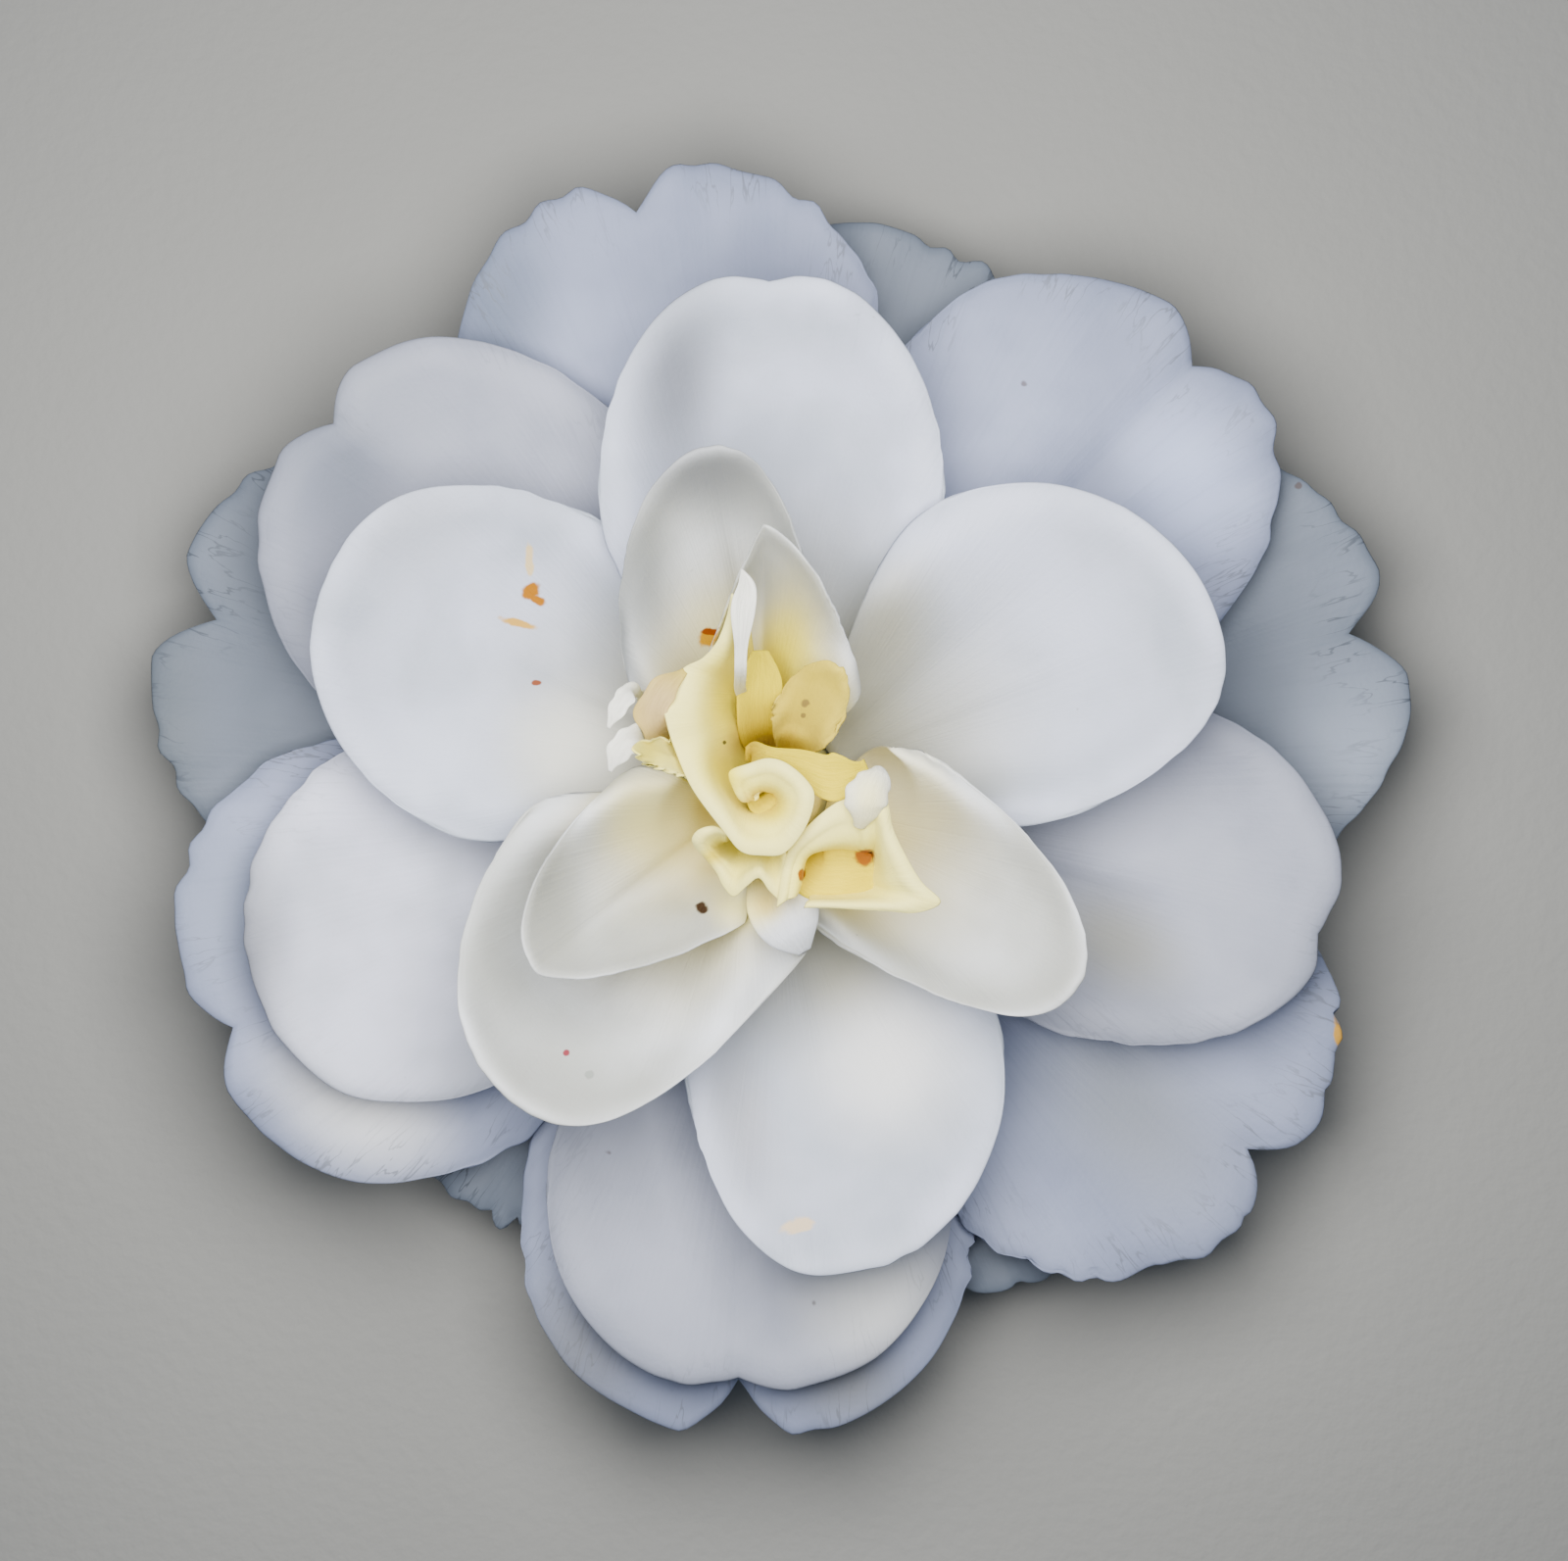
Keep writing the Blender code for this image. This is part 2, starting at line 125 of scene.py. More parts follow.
class Finish:
    """A material for one finish of the flower. Every node in it is added by node()."""

    def __init__(self, name, **fixed):
        self.material = bpy.data.materials.new(name)
        self.material.use_nodes = True
        self.shader = self.material.node_tree.nodes["Principled BSDF"]
        for socket, value in fixed.items():
            self.shader.inputs[socket.replace("_", " ")].default_value = value
        self.place = self.node("ShaderNodeTexCoord", {}, {}).outputs["Object"]

    def node(self, kind, settings, sockets):
        """A node of a kind, with its settings and then the values or links of its sockets."""
        node = self.material.node_tree.nodes.new(kind)
        for key, value in settings.items():
            setattr(node, key, value)
        for key, value in sockets.items():
            value = getattr(value, "socket", value)
            if isinstance(value, bpy.types.NodeSocket):
                self.material.node_tree.links.new(value, node.inputs[key])
            else:
                node.inputs[key].default_value = value
        return node

    def read(self, name):
        node = self.node("ShaderNodeAttribute", {"attribute_name": name}, {})
        return Dial(self, node.outputs["Fac"])

    def stretch(self, vector, scale, shift=(0.0, 0.0, 0.0)):
        return self.node("ShaderNodeMapping", {}, {0: vector, 1: shift, 3: scale}).outputs[0]

    def noise(self, vector, scale, detail=2.0, distortion=0.0):
        sockets = {0: vector, "Scale": scale, "Detail": detail, "Distortion": distortion}
        return Dial(self, self.node("ShaderNodeTexNoise", {}, sockets).outputs[0])

    def between(self, value, low, high):
        """0 at low, 1 at high and a smooth step from one to the other."""
        node = self.node("ShaderNodeMapRange", {"interpolation_type": "SMOOTHSTEP"},
                         {0: value, 1: low, 2: high})
        return Dial(self, node.outputs[0])

    def blend(self, share, under, over):
        """The colour under, with a share of the colour over it."""
        colours = [(*c, 1.0) if isinstance(c, tuple) else c for c in (under, over)]
        node = self.node("ShaderNodeMix", {"data_type": "RGBA"},
                         {0: share, 6: colours[0], 7: colours[1]})
        return node.outputs[2]

    def away(self, place, half, turn):
        """How far out from a place in the plan, in half widths of an oval turned by degrees."""
        near = self.node("ShaderNodeMapping", {"vector_type": "TEXTURE"},
                         {0: self.place, 1: (place[0] * MM, place[1] * MM, 0),
                          2: (0, 0, math.radians(turn)), 3: (half[0] * MM, half[1] * MM, 1)})
        return Dial(self, self.node("ShaderNodeVectorMath", {"operation": "LENGTH"},
                                    {0: near.outputs[0]}).outputs[1])

    def feed(self, socket, value):
        value = getattr(value, "socket", value)
        self.material.node_tree.links.new(value, self.shader.inputs[socket])

    def relief(self, height, depth):
        """Bumps of a depth in millimetres."""
        node = self.node("ShaderNodeBump", {}, {"Height": height, "Distance": depth * MM})
        self.feed("Normal", node.outputs[0])


def add_mesh(name, points, faces, finish):
    """A mesh object whose points are given in millimetres."""
    mesh = bpy.data.meshes.new(name)
    mesh.from_pydata((np.asarray(points) * MM).tolist(), [], faces)
    mesh.materials.append(finish.material)
    mesh.shade_smooth()
    piece = bpy.data.objects.new(name, mesh)
    bpy.context.scene.collection.objects.link(piece)
    return piece


board = Finish("pale_board", Roughness=0.85, Specular_IOR_Level=0.2)
mottle = board.between(board.noise(board.place, 14.0, 4.0), 0.3, 0.7)
board.feed("Base Color", board.blend(mottle, (0.27, 0.27, 0.26), (0.285, 0.285, 0.275)))
board.relief(board.noise(board.place, 900.0), 0.1)
HALF_TABLE = 1500.0
corners = [(x * HALF_TABLE, y * HALF_TABLE, 0) for x, y in ((-1, -1), (1, -1), (1, 1), (-1, 1))]
add_mesh("table_top", corners, [(0, 1, 2, 3)], board)


# ---- Receptacle --------------------------------------------------------------------------
# The green end of the stalk, cut across, swells under the flower and runs up as the boss that
# every petal stands on. It is solid flesh, green below, yellow under the petals' roots.

BOSS_FOOT = (7.35, 8.2)
BOSS_SHOULDER = (4.2, 14.6)
BOSS_TOP = 17.2
STUB_RADIUS = 4.0


def receptacle_profile():
    """Outline from the top of the boss down to the cut face: a quarter ellipse for the dome, the
    straight cone, the swelling and the stub."""
    turn = np.radians(np.linspace(0, 90, 13))
    dome = np.stack([BOSS_SHOULDER[0] * np.sin(turn),
                     BOSS_SHOULDER[1] + (BOSS_TOP - BOSS_SHOULDER[1]) * np.cos(turn)], 1)
    rest = [BOSS_FOOT, (6.9, 6.4), (5.6, 4.2), (4.2, 2.6), (STUB_RADIUS, 2.0), (STUB_RADIUS, 0.3)]
    cut_face = [(radius, 0.0) for radius in (3.7, 3.2, 2.2, 1.0, 0.0)]
    return np.concatenate([dome, rest, cut_face])


def turned(profile, steps):
    """Points and faces of a profile turned once about the upright axis, with single end points."""
    radius, height = np.asarray(profile)[1:-1].T
    turn = np.linspace(0, 2 * np.pi, steps, endpoint=False)[:, None]
    rings = np.stack([radius * np.cos(turn), radius * np.sin(turn), height + 0 * turn], -1)
    count = len(radius)
    corner = np.arange(steps * count).reshape(steps, count)
    following = np.roll(corner, -1, axis=0)
    faces = np.stack([corner[:, :-1], corner[:, 1:], following[:, 1:], following[:, :-1]], -1)
    top, bottom = steps * count, steps * count + 1
    caps = [(top, int(a), int(b)) for a, b in zip(corner[:, 0], following[:, 0])]
    caps += [(bottom, int(b), int(a)) for a, b in zip(corner[:, -1], following[:, -1])]
    ends = np.array([(0, 0, profile[0][1]), (0, 0, profile[-1][1])])
    return np.concatenate([rings.reshape(-1, 3), ends]), faces.reshape(-1, 4).tolist() + caps


stalk_green = Finish("stalk_green", Roughness=0.55, Subsurface_Weight=0.15,
                     Subsurface_Radius=(0.4, 0.5, 0.1), Subsurface_Scale=1.0 * MM)
height = stalk_green.node("ShaderNodeSeparateXYZ", {}, {0: stalk_green.place}).outputs[2]
fibre = stalk_green.noise(stalk_green.stretch(stalk_green.place, (1, 1, 0.12)), 1400.0, 4.0)
flesh = stalk_green.blend(stalk_green.between(fibre, 0.35, 0.7), (0.20, 0.28, 0.07),
                          (0.36, 0.42, 0.16))
flesh = stalk_green.blend(stalk_green.between(height, 8.0 * MM, 15.0 * MM), flesh,
                          (0.80, 0.66, 0.20))
flesh = stalk_green.blend(stalk_green.between(height, 15.5 * MM, 17.2 * MM), flesh,
                          (0.72, 0.44, 0.08))
cut = stalk_green.between(height, 0.12 * MM, 0.02 * MM)
wood = stalk_green.noise(stalk_green.place, 1800.0, 3.0)
pith = stalk_green.blend(wood, (0.40, 0.42, 0.20), (0.62, 0.58, 0.36))
flesh = stalk_green.blend(cut, flesh, pith)
stalk_green.feed("Base Color", flesh)
stalk_green.relief(fibre, 0.12)
stalk = add_mesh("receptacle_flesh", *turned(receptacle_profile(), 96), stalk_green)
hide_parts("receptacle")
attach(stalk, "root")


# ---- Calyx -------------------------------------------------------------------------------
# Five broad sepals over four small bracts hug the back of the flower. They are stiff green scales
# with thin brownish margins, streaked and a little silky.

SHEET_THICKNESS = 0.36
ROUNDING = 0.9
EDGE_REACH = 8.0


def evened(values, share, times):
    """Values on a grid drawn some share of the way to the mean of their four neighbours, again
    and again."""
    for _ in range(times):
        wide = np.pad(values, ((1, 1), (1, 1)) + ((0, 0),) * (values.ndim - 2), mode="edge")
        mean = (wide[:-2, 1:-1] + wide[2:, 1:-1] + wide[1:-1, :-2] + wide[1:-1, 2:]) / 4
        values = values + share * (mean - values)
    return values


def facing(middle):
    """Unit normals of a sheet, each a mean of those round it by the size of their cells."""
    normal = evened(np.cross(*np.gradient(middle, axis=(0, 1))), 1.0, 6)
    return normal / np.maximum(np.linalg.norm(normal, axis=-1, keepdims=True), 1e-12)


def closed_sheet(middle, thickness):
    """Both faces of a sheet about its middle surface, joined along its free margins, and the strip
    that closes its root. Also gives the place of each lower point in the list of points."""
    offset = facing(middle) * thickness[..., None] / 2
    rows, columns = middle.shape[:2]
    upper = np.arange(rows * columns).reshape(rows, columns)
    inside = np.zeros((rows, columns), bool)
    inside[:-1, 1:-1] = True
    lower = upper.copy()
    lower[inside] = rows * columns + np.arange(inside.sum())
    points = np.concatenate([(middle + offset).reshape(-1, 3), (middle - offset)[inside]])
    points[upper[~inside]] = middle[~inside]
    faces = []
    for corner, order in ((upper, 1), (lower, -1)):
        cell = [corner[:-1, :-1], corner[1:, :-1], corner[1:, 1:], corner[:-1, 1:]][::order]
        faces += np.stack(cell, -1).reshape(-1, 4).tolist()
    strip = np.stack([upper[0, :-1], upper[0, 1:], lower[0, 1:], lower[0, :-1]], -1).tolist()
    return points, faces + [list(dict.fromkeys(face)) for face in strip], inside


def margin_gap(middle):
    """How far each point of a sheet is from the nearest point of its free margin."""
    margin = np.concatenate([middle[1:, 0], middle[-1, 1:-1], middle[1:, -1]])
    return np.linalg.norm(middle[:, :, None] - margin[None, None], axis=-1).min(axis=-1)


def add_sheet(name, middle, finish, out, sheet, thickness=SHEET_THICKNESS, rounding=ROUNDING):
    """A sheet with its map and the dials out, from root to tip, edge, how far in from the margin
    over EDGE_REACH, steep, from 0 lying flat to 1 standing, and over, 1 on the upper face."""
    gap = margin_gap(middle)
    thick = thickness * np.sqrt(1 - (1 - np.clip(gap / rounding, 0, 1)) ** 2)
    points, faces, inside = closed_sheet(middle, thick)
    piece = add_mesh(name, points, faces, finish)
    count = middle.shape[0] * middle.shape[1]
    over = np.concatenate([np.ones(count), np.zeros(len(points) - count)])
    steep = 1 - np.abs(facing(middle)[..., 2])
    for dial, values in (("out", out), ("edge", np.clip(gap / EDGE_REACH, 0, 1)), ("steep", steep)):
        whole = np.concatenate([values.ravel(), values[inside]])
        piece.data.attributes.new(dial, "FLOAT", "POINT").data.foreach_set("value", whole)
    piece.data.attributes.new("over", "FLOAT", "POINT").data.foreach_set("value", over)
    flat = np.concatenate([sheet.reshape(-1, 2), sheet[inside]])
    corner = np.zeros(len(piece.data.loops), int)
    piece.data.loops.foreach_get("vertex_index", corner)
    piece.data.uv_layers.new(name="sheet").data.foreach_set("uv", flat[corner].ravel())
    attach(piece, "root")
    return piece


sepal_green = Finish("sepal_green", Roughness=0.5, Subsurface_Weight=0.1, Sheen_Weight=0.3,
                     Subsurface_Radius=(0.5, 0.6, 0.2), Subsurface_Scale=0.8 * MM)
streak = sepal_green.noise(sepal_green.stretch(
    sepal_green.node("ShaderNodeUVMap", {"uv_map": "sheet"}, {}).outputs[0], (26.0, 1.2, 1.0)),
    1.0, 3.0, 0.3)
scale = sepal_green.blend(sepal_green.between(streak, 0.35, 0.65), (0.17, 0.24, 0.06),
                          (0.34, 0.40, 0.15))
scale = sepal_green.blend(sepal_green.between(sepal_green.read("out"), 0.3, 0.9) * 0.5, scale,
                          (0.36, 0.30, 0.12))
scale = sepal_green.blend(sepal_green.between(sepal_green.read("edge"), 0.12, 0.0), scale,
                          (0.24, 0.14, 0.06))
sepal_green.feed("Base Color", scale)
sepal_green.relief(streak, 0.15)
SEPAL_ROWS, SEPAL_COLUMNS = 25, 41
SEPAL_THICKNESS, SEPAL_ROUNDING = 0.7, 1.2
SEPAL_SIZES = dict(half=44.0, low=9.6, reach=13.3, foot=(7.4, 5.3), tip=7.3)
BRACT_SIZES = dict(half=50.0, low=7.8, reach=10.0, foot=(4.7, 2.9), tip=4.6)


def sepal_sheet(azimuth, half, low, reach, foot, tip):
    """Middle of a sepal: rings from its foot's to its margin's radius, which falls from reach in
    the middle to low at the sides as a superellipse, the height rising as a power of the way."""
    u = np.linspace(0, 1, SEPAL_ROWS)[:, None]
    v = np.sin(np.linspace(-1, 1, SEPAL_COLUMNS) * math.pi / 2)[None]
    margin = low + (reach - low) * np.sqrt(1 - np.abs(v) ** 2.4)
    margin = margin * np.sin(np.pi / 2 * np.clip((1 - np.abs(v)) * 6, 0, 1)) ** 0.25
    radius = foot[0] + (np.maximum(margin, foot[0] + 0.4) - foot[0]) * u
    turn = np.radians(azimuth + v * half * (0.75 + 0.25 * u))
    height = foot[1] + (tip - foot[1]) * ((radius - foot[0]) / (reach - foot[0])) ** 0.9
    height = height - 0.35 * (1 - np.abs(v)) * u - 0.5 * np.abs(v) * u
    return np.stack([radius * np.cos(turn), radius * np.sin(turn), height], -1)


scales = [(12 + 72 * k, SEPAL_SIZES, 0.2 * (k % 2)) for k in range(5)]
scales += [(39 + 90 * k, BRACT_SIZES, 0.0) for k in range(4)]
for k, (azimuth, sizes, raised) in enumerate(scales):
    middle = sepal_sheet(azimuth, **sizes)
    middle[..., 2] += raised
    way = np.linspace(0, 1, SEPAL_ROWS)[:, None] + np.zeros(SEPAL_COLUMNS)
    sheet = np.stack([np.linspace(0, 1, SEPAL_COLUMNS) + 0 * way, way], -1)
    piece = add_sheet(f"sepal_sheet_{k + 1}", middle, sepal_green, way, sheet, SEPAL_THICKNESS,
                      SEPAL_ROUNDING)
    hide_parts("calyx")


# ---- Guard petals ------------------------------------------------------------------------
# The outermost row: five broad thin petals, nearly flat, with notched and crinkled margins. A
# petal is one soft sheet that thins out to its margin, and stands by its root on the boss.

ROOT_GAP = 0.5
ROOT_HEIGHT = {"guard": 8.2, "second": 9.8, "third": 11.4, "inner": 13.0, "heart": 14.6}
DOME_ANGLE = {"core": 62.0, "petaloid": 38.0}
ROOT_HALF_ANGLE = {"core": 22.0, "petaloid": 15.0}


def root_place(row):
    """Radius and height of a row's root edge, a gap clear of the boss."""
    (low_r, low_z), (high_r, high_z) = BOSS_FOOT, BOSS_SHOULDER
    if row in ROOT_HEIGHT:
        share = (ROOT_HEIGHT[row] - low_z) / (high_z - low_z)
        return low_r + (high_r - low_r) * share + ROOT_GAP, ROOT_HEIGHT[row]
    angle = math.radians(DOME_ANGLE[row])
    rise = BOSS_TOP - high_z
    return (high_r * math.sin(angle) + ROOT_GAP * math.sin(angle),
            high_z + rise * math.cos(angle) + ROOT_GAP * math.cos(angle))


def spread_petal(u, even, row, azimuth, reach, ccw, cw, tip, shoulder=0.62, hips=(1.0, 1.0),
                 closing=2.1, bow=1.3, rim=1.0, stand=0.45, incurve=0.0, notch=0.0, notch_at=0.0,
                 crease=0.0, lean=0.0):
    """Mid-surface of a petal at u from root to tip and at even from side to side.

    In plan the root is an arc on the boss, the sides swell as a quarter sine, raised to the powers
    hips, to the half widths cw and ccw at the shoulder, and from there a superellipse closes the
    tip, less a notch. The height rises from the root's to the tip's as a power of the way out, and
    the margin stands up by rim.
    """
    u, even = u[:, None], even[None, :]
    root_r, root_z = root_place(row)
    length = reach - root_r
    v = np.sign(even) * np.abs(np.sin(even * math.pi / 2)) ** 1.4 + notch_at * (1 - even**2)
    root_angle = v * math.radians(ROOT_HALF_ANGLE.get(row, 24.0))
    closing = np.where(v < 0, *np.broadcast_to(closing, 2))
    close = np.clip(1 - np.abs(v) ** (closing + 0.1), 0.0, None) ** (1 / closing)
    side = shoulder + (1 - shoulder) * close
    margin = 1 - (1 - u**4) * (1 - np.abs(v) ** 3.5 * np.clip(u / stand, 0, 1) ** 1.5)
    swell = np.sin(u * math.pi / 2) ** np.where(v < 0, *hips)
    half = (ccw + cw) / 2 * v + (ccw - cw) / 2 * v**2
    across = root_r * np.sin(root_angle) * (1 - swell) + half * swell
    along = root_r + (root_r * np.cos(root_angle) - root_r) * (1 - u) + length * u * side
    near = np.clip(1 - np.abs((v - notch_at) * (ccw + cw) / 2) / 4.5, 0, None)
    along = along - notch * near**1.5 * u**8
    fold = incurve * margin**2
    along_in = along - fold * length * 0.5 * u**2
    across_in = across * (1 - fold)
    way = np.clip((along - root_r) / length, 0, 1)
    height = root_z + (tip - rim - root_z) * way**bow + rim * margin - crease * near * u**2
    turn = np.radians(azimuth + lean * (u - 0.7))
    return np.stack([along_in * np.cos(turn) - across_in * np.sin(turn),
                     along_in * np.sin(turn) + across_in * np.cos(turn), height + 0 * along], -1)


class Pile:
    """Height of the highest petal so far over each small square of the plan."""

    PITCH = 0.6
    HALF = 56.0
    FINE = 12
    APART = 1.15
    STEEPEST = 0.35
    SMOOTHING = 4

    def __init__(self):
        count = int(2 * self.HALF / self.PITCH) + 1
        self.top = np.full((count, count), -100.0)

    def cells(self, points):
        place = np.rint((points[..., :2] + self.HALF) / self.PITCH).astype(int)
        return place[..., 0], place[..., 1]

    def refine(self, grid):
        """The grid with FINE points for each cell side, by straight interpolation."""
        for axis in (0, 1):
            count = grid.shape[axis]
            at = np.linspace(0, count - 1, (count - 1) * self.FINE + 1)
            low = np.minimum(at.astype(int), count - 2)
            share = (at - low).reshape([-1 if k == axis else 1 for k in range(grid.ndim)])
            grid = np.take(grid, low, axis) * (1 - share) + np.take(grid, low + 1, axis) * share
        return grid

    def lift(self, points, keep):
        """How far each point of a coarse petal, except its root, rises to clear the pile."""
        fine = self.refine(points)
        normal = np.cross(*np.gradient(fine, axis=(0, 1)))
        upright = np.abs(normal[..., 2]) / np.maximum(np.linalg.norm(normal, axis=-1), 1e-9)
        i, j = self.cells(fine)
        below = np.max([self.top[i + a, j + b] for a in (-1, 0, 1) for b in (-1, 0, 1)], axis=0)
        need = below + self.APART / np.maximum(upright, self.STEEPEST) - fine[..., 2]
        rows, columns = points.shape[:2]
        lift = np.zeros((rows, columns))
        for a in range(rows):
            for b in range(columns):
                patch = need[max(0, (a - 1) * self.FINE):(a + 1) * self.FINE + 1,
                             max(0, (b - 1) * self.FINE):(b + 1) * self.FINE + 1]
                lift[a, b] = max(0.0, patch.max())
        for _ in range(self.SMOOTHING):
            wide = np.pad(lift, 1, mode="edge")
            round_it = wide[:-2, 1:-1] + wide[2:, 1:-1] + wide[1:-1, :-2] + wide[1:-1, 2:]
            lift = (round_it + 4 * lift) / 8
        lift[0] = 0.0
        if keep:
            raised = points.copy()
            raised[..., 2] += lift
            fine = self.refine(raised)
            np.maximum.at(self.top, self.cells(fine), fine[..., 2])
        return lift


def cubic_weights(at, count):
    """Catmull-Rom weights of count evenly spaced values at each place from 0 to 1."""
    place = np.asarray(at) * (count - 1)
    low = np.clip(place.astype(int), 0, count - 2)
    t = place - low
    parts = (-t**3 + 2 * t**2 - t, 3 * t**3 - 5 * t**2 + 2, -3 * t**3 + 4 * t**2 + t, t**3 - t**2)
    weights = np.zeros((len(place), count))
    for shift, part in zip((-1, 0, 1, 2), parts):
        column = np.clip(low + shift, 0, count - 1)
        np.add.at(weights, (np.arange(len(place)), column), part / 2)
    return weights


def waves(angle, seed, slowest, fastest):
    """Sum of sines of whole multiples of an angle, with seeded sizes and starts, about 1 high."""
    chance = np.random.default_rng(seed)
    turns = np.arange(slowest, fastest + 1)
    size = chance.normal(size=len(turns)) / math.sqrt(len(turns))
    start = chance.uniform(0, 2 * math.pi, len(turns))
    return 1.4 * np.sum(size * np.sin(angle[..., None] * turns + start), axis=-1)


pile = Pile()


def fold_height(places, folds):
    """Sum of soft ridges, each with a start, an end, a half width and a height over the plan."""
    total = np.zeros(places.shape[:2])
    for start, end, width, height in folds:
        start, way = np.array(start), np.array(end) - np.array(start)
        share = np.clip((places - start) @ way / max(way @ way, 1e-9), 0, 1)
        away = np.linalg.norm(places - start - share[..., None] * way, axis=-1)
        total += height * np.exp(-((away / width) ** 2))
    return total


def make_petal(name, form, finish, slot="petal_white", trim=None, ripple=0.3, ruffle=0.3,
               hollow=0.3, jag=0.0, lip=(2.0, 0.3), barb=0.0, folds=(), rows=56, columns=88,
               cells=(8, 10), keep=True):
    """A petal as a fine sheet over its CAD node, whose own coarse form gives its lift.

    Waves about the petal's middle crinkle its margin in plan and in height, and hollow its blade.
    The lip, a width and a drop, rolls the margin over, a barb draws one corner back to a point,
    and folds are ridges or hollows of their own.
    """
    coarse = spread_petal(np.linspace(0, 1, cells[0] + 1), np.linspace(-1, 1, cells[1] + 1), **form)
    lift = pile.lift(coarse, keep)
    u = 1 - (1 - np.linspace(0, 1, rows + 1)) ** 1.5
    side = np.sin(np.linspace(-1, 1, columns + 1) * math.pi / 2)
    even = np.sign(side) * np.arcsin(np.abs(side) ** (1 / 1.4)) * 2 / math.pi
    middle = spread_petal(u, even, **{**form, **(trim or {})})
    middle[..., 2] += (cubic_weights(u, cells[0] + 1) @ lift
                       @ cubic_weights((even + 1) / 2, cells[1] + 1).T)

    seed = sum(ord(letter) * (k + 7) for k, letter in enumerate(name))
    turn = math.radians(form["azimuth"])
    axis = np.array([math.cos(turn), math.sin(turn)])
    u, even = u[:, None], even[None]
    middle[..., :2] -= barb * axis * (np.clip(even, 0, 1) ** 6 * u**2)[..., None]
    heart = middle[rows // 3, columns // 2]
    from_heart = middle[..., :2] - heart[:2]
    angle = np.arctan2(from_heart[..., 1], from_heart[..., 0]) - turn
    near_margin = 1 - (1 - u**4) * (1 - np.abs(np.sin(even * math.pi / 2)) ** 5
                                    * np.clip(u / 0.5, 0, 1) ** 2)
    calm = np.clip(0.5 + 0.8 * waves(angle, seed + 4, 1, 6), 0.1, 1.2)
    fine = calm * waves(angle, seed, 17, 52)
    push = ripple * (0.6 * waves(angle, seed, 5, 16) + 0.6 * fine - 0.7)
    push = push * near_margin**3
    saw = np.abs(np.sin(angle * 13 + 2 * waves(angle, seed + 1, 3, 9))) ** 0.5
    push -= jag * (1 - saw) * near_margin**4 * np.clip(u * 2 - 1, 0, 1)
    away = np.maximum(np.linalg.norm(from_heart, axis=-1, keepdims=True), 1e-6)
    middle[..., :2] += from_heart / away * push[..., None]
    middle[..., 2] += ruffle * waves(angle, seed + 2, 4, 15) * near_margin**1.5
    blade = np.sin(np.clip(u * 1.15, 0, 1) * math.pi) ** 2
    middle[..., 2] += hollow * waves(even * 1.6 + 0.5 * u, seed + 3, 1, 4) * blade
    free = np.clip((u - 0.2) / 0.4, 0, 1)
    middle[..., 2] += fold_height(middle[..., :2], folds) * free
    gap = margin_gap(middle)
    middle[..., 2] -= lip[1] * np.clip(1 - gap / lip[0], 0, 1) ** 2 * free
    corner = np.clip(u * 1.4 - 0.4, 0, 1) * np.clip(np.abs(even) * 2 - 1, 0, 1)
    middle[..., 2] = evened(middle[..., 2], corner, 60)

    root_r, _ = root_place(form["row"])
    spread = middle[..., :2] - axis * root_r * 0.5
    across = spread @ np.array([-axis[1], axis[0]])
    along = spread @ axis
    sheet = np.stack([np.arctan2(across, along), np.hypot(across, along) / 50], -1)
    piece = add_sheet(f"{name}_sheet", middle, finish, u + 0 * even, sheet)
    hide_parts(name)
    return piece


VEIN_COLOUR = (0.13, 0.14, 0.16)
SPECK_COLOUR = (0.08, 0.05, 0.04)
CLOUD_SCALE, PATCH_SCALE, DUST_SCALE, CRUMB_SCALE, GRAIN_SCALE = 90.0, 150.0, 520.0, 900.0, 2600.0
# Radii between which the outer rows are painted greyer: painted shade.
FAR_SHADE_FROM, FAR_SHADE_TO = 33 * MM, 50 * MM
PETAL_RELIEF = 0.05


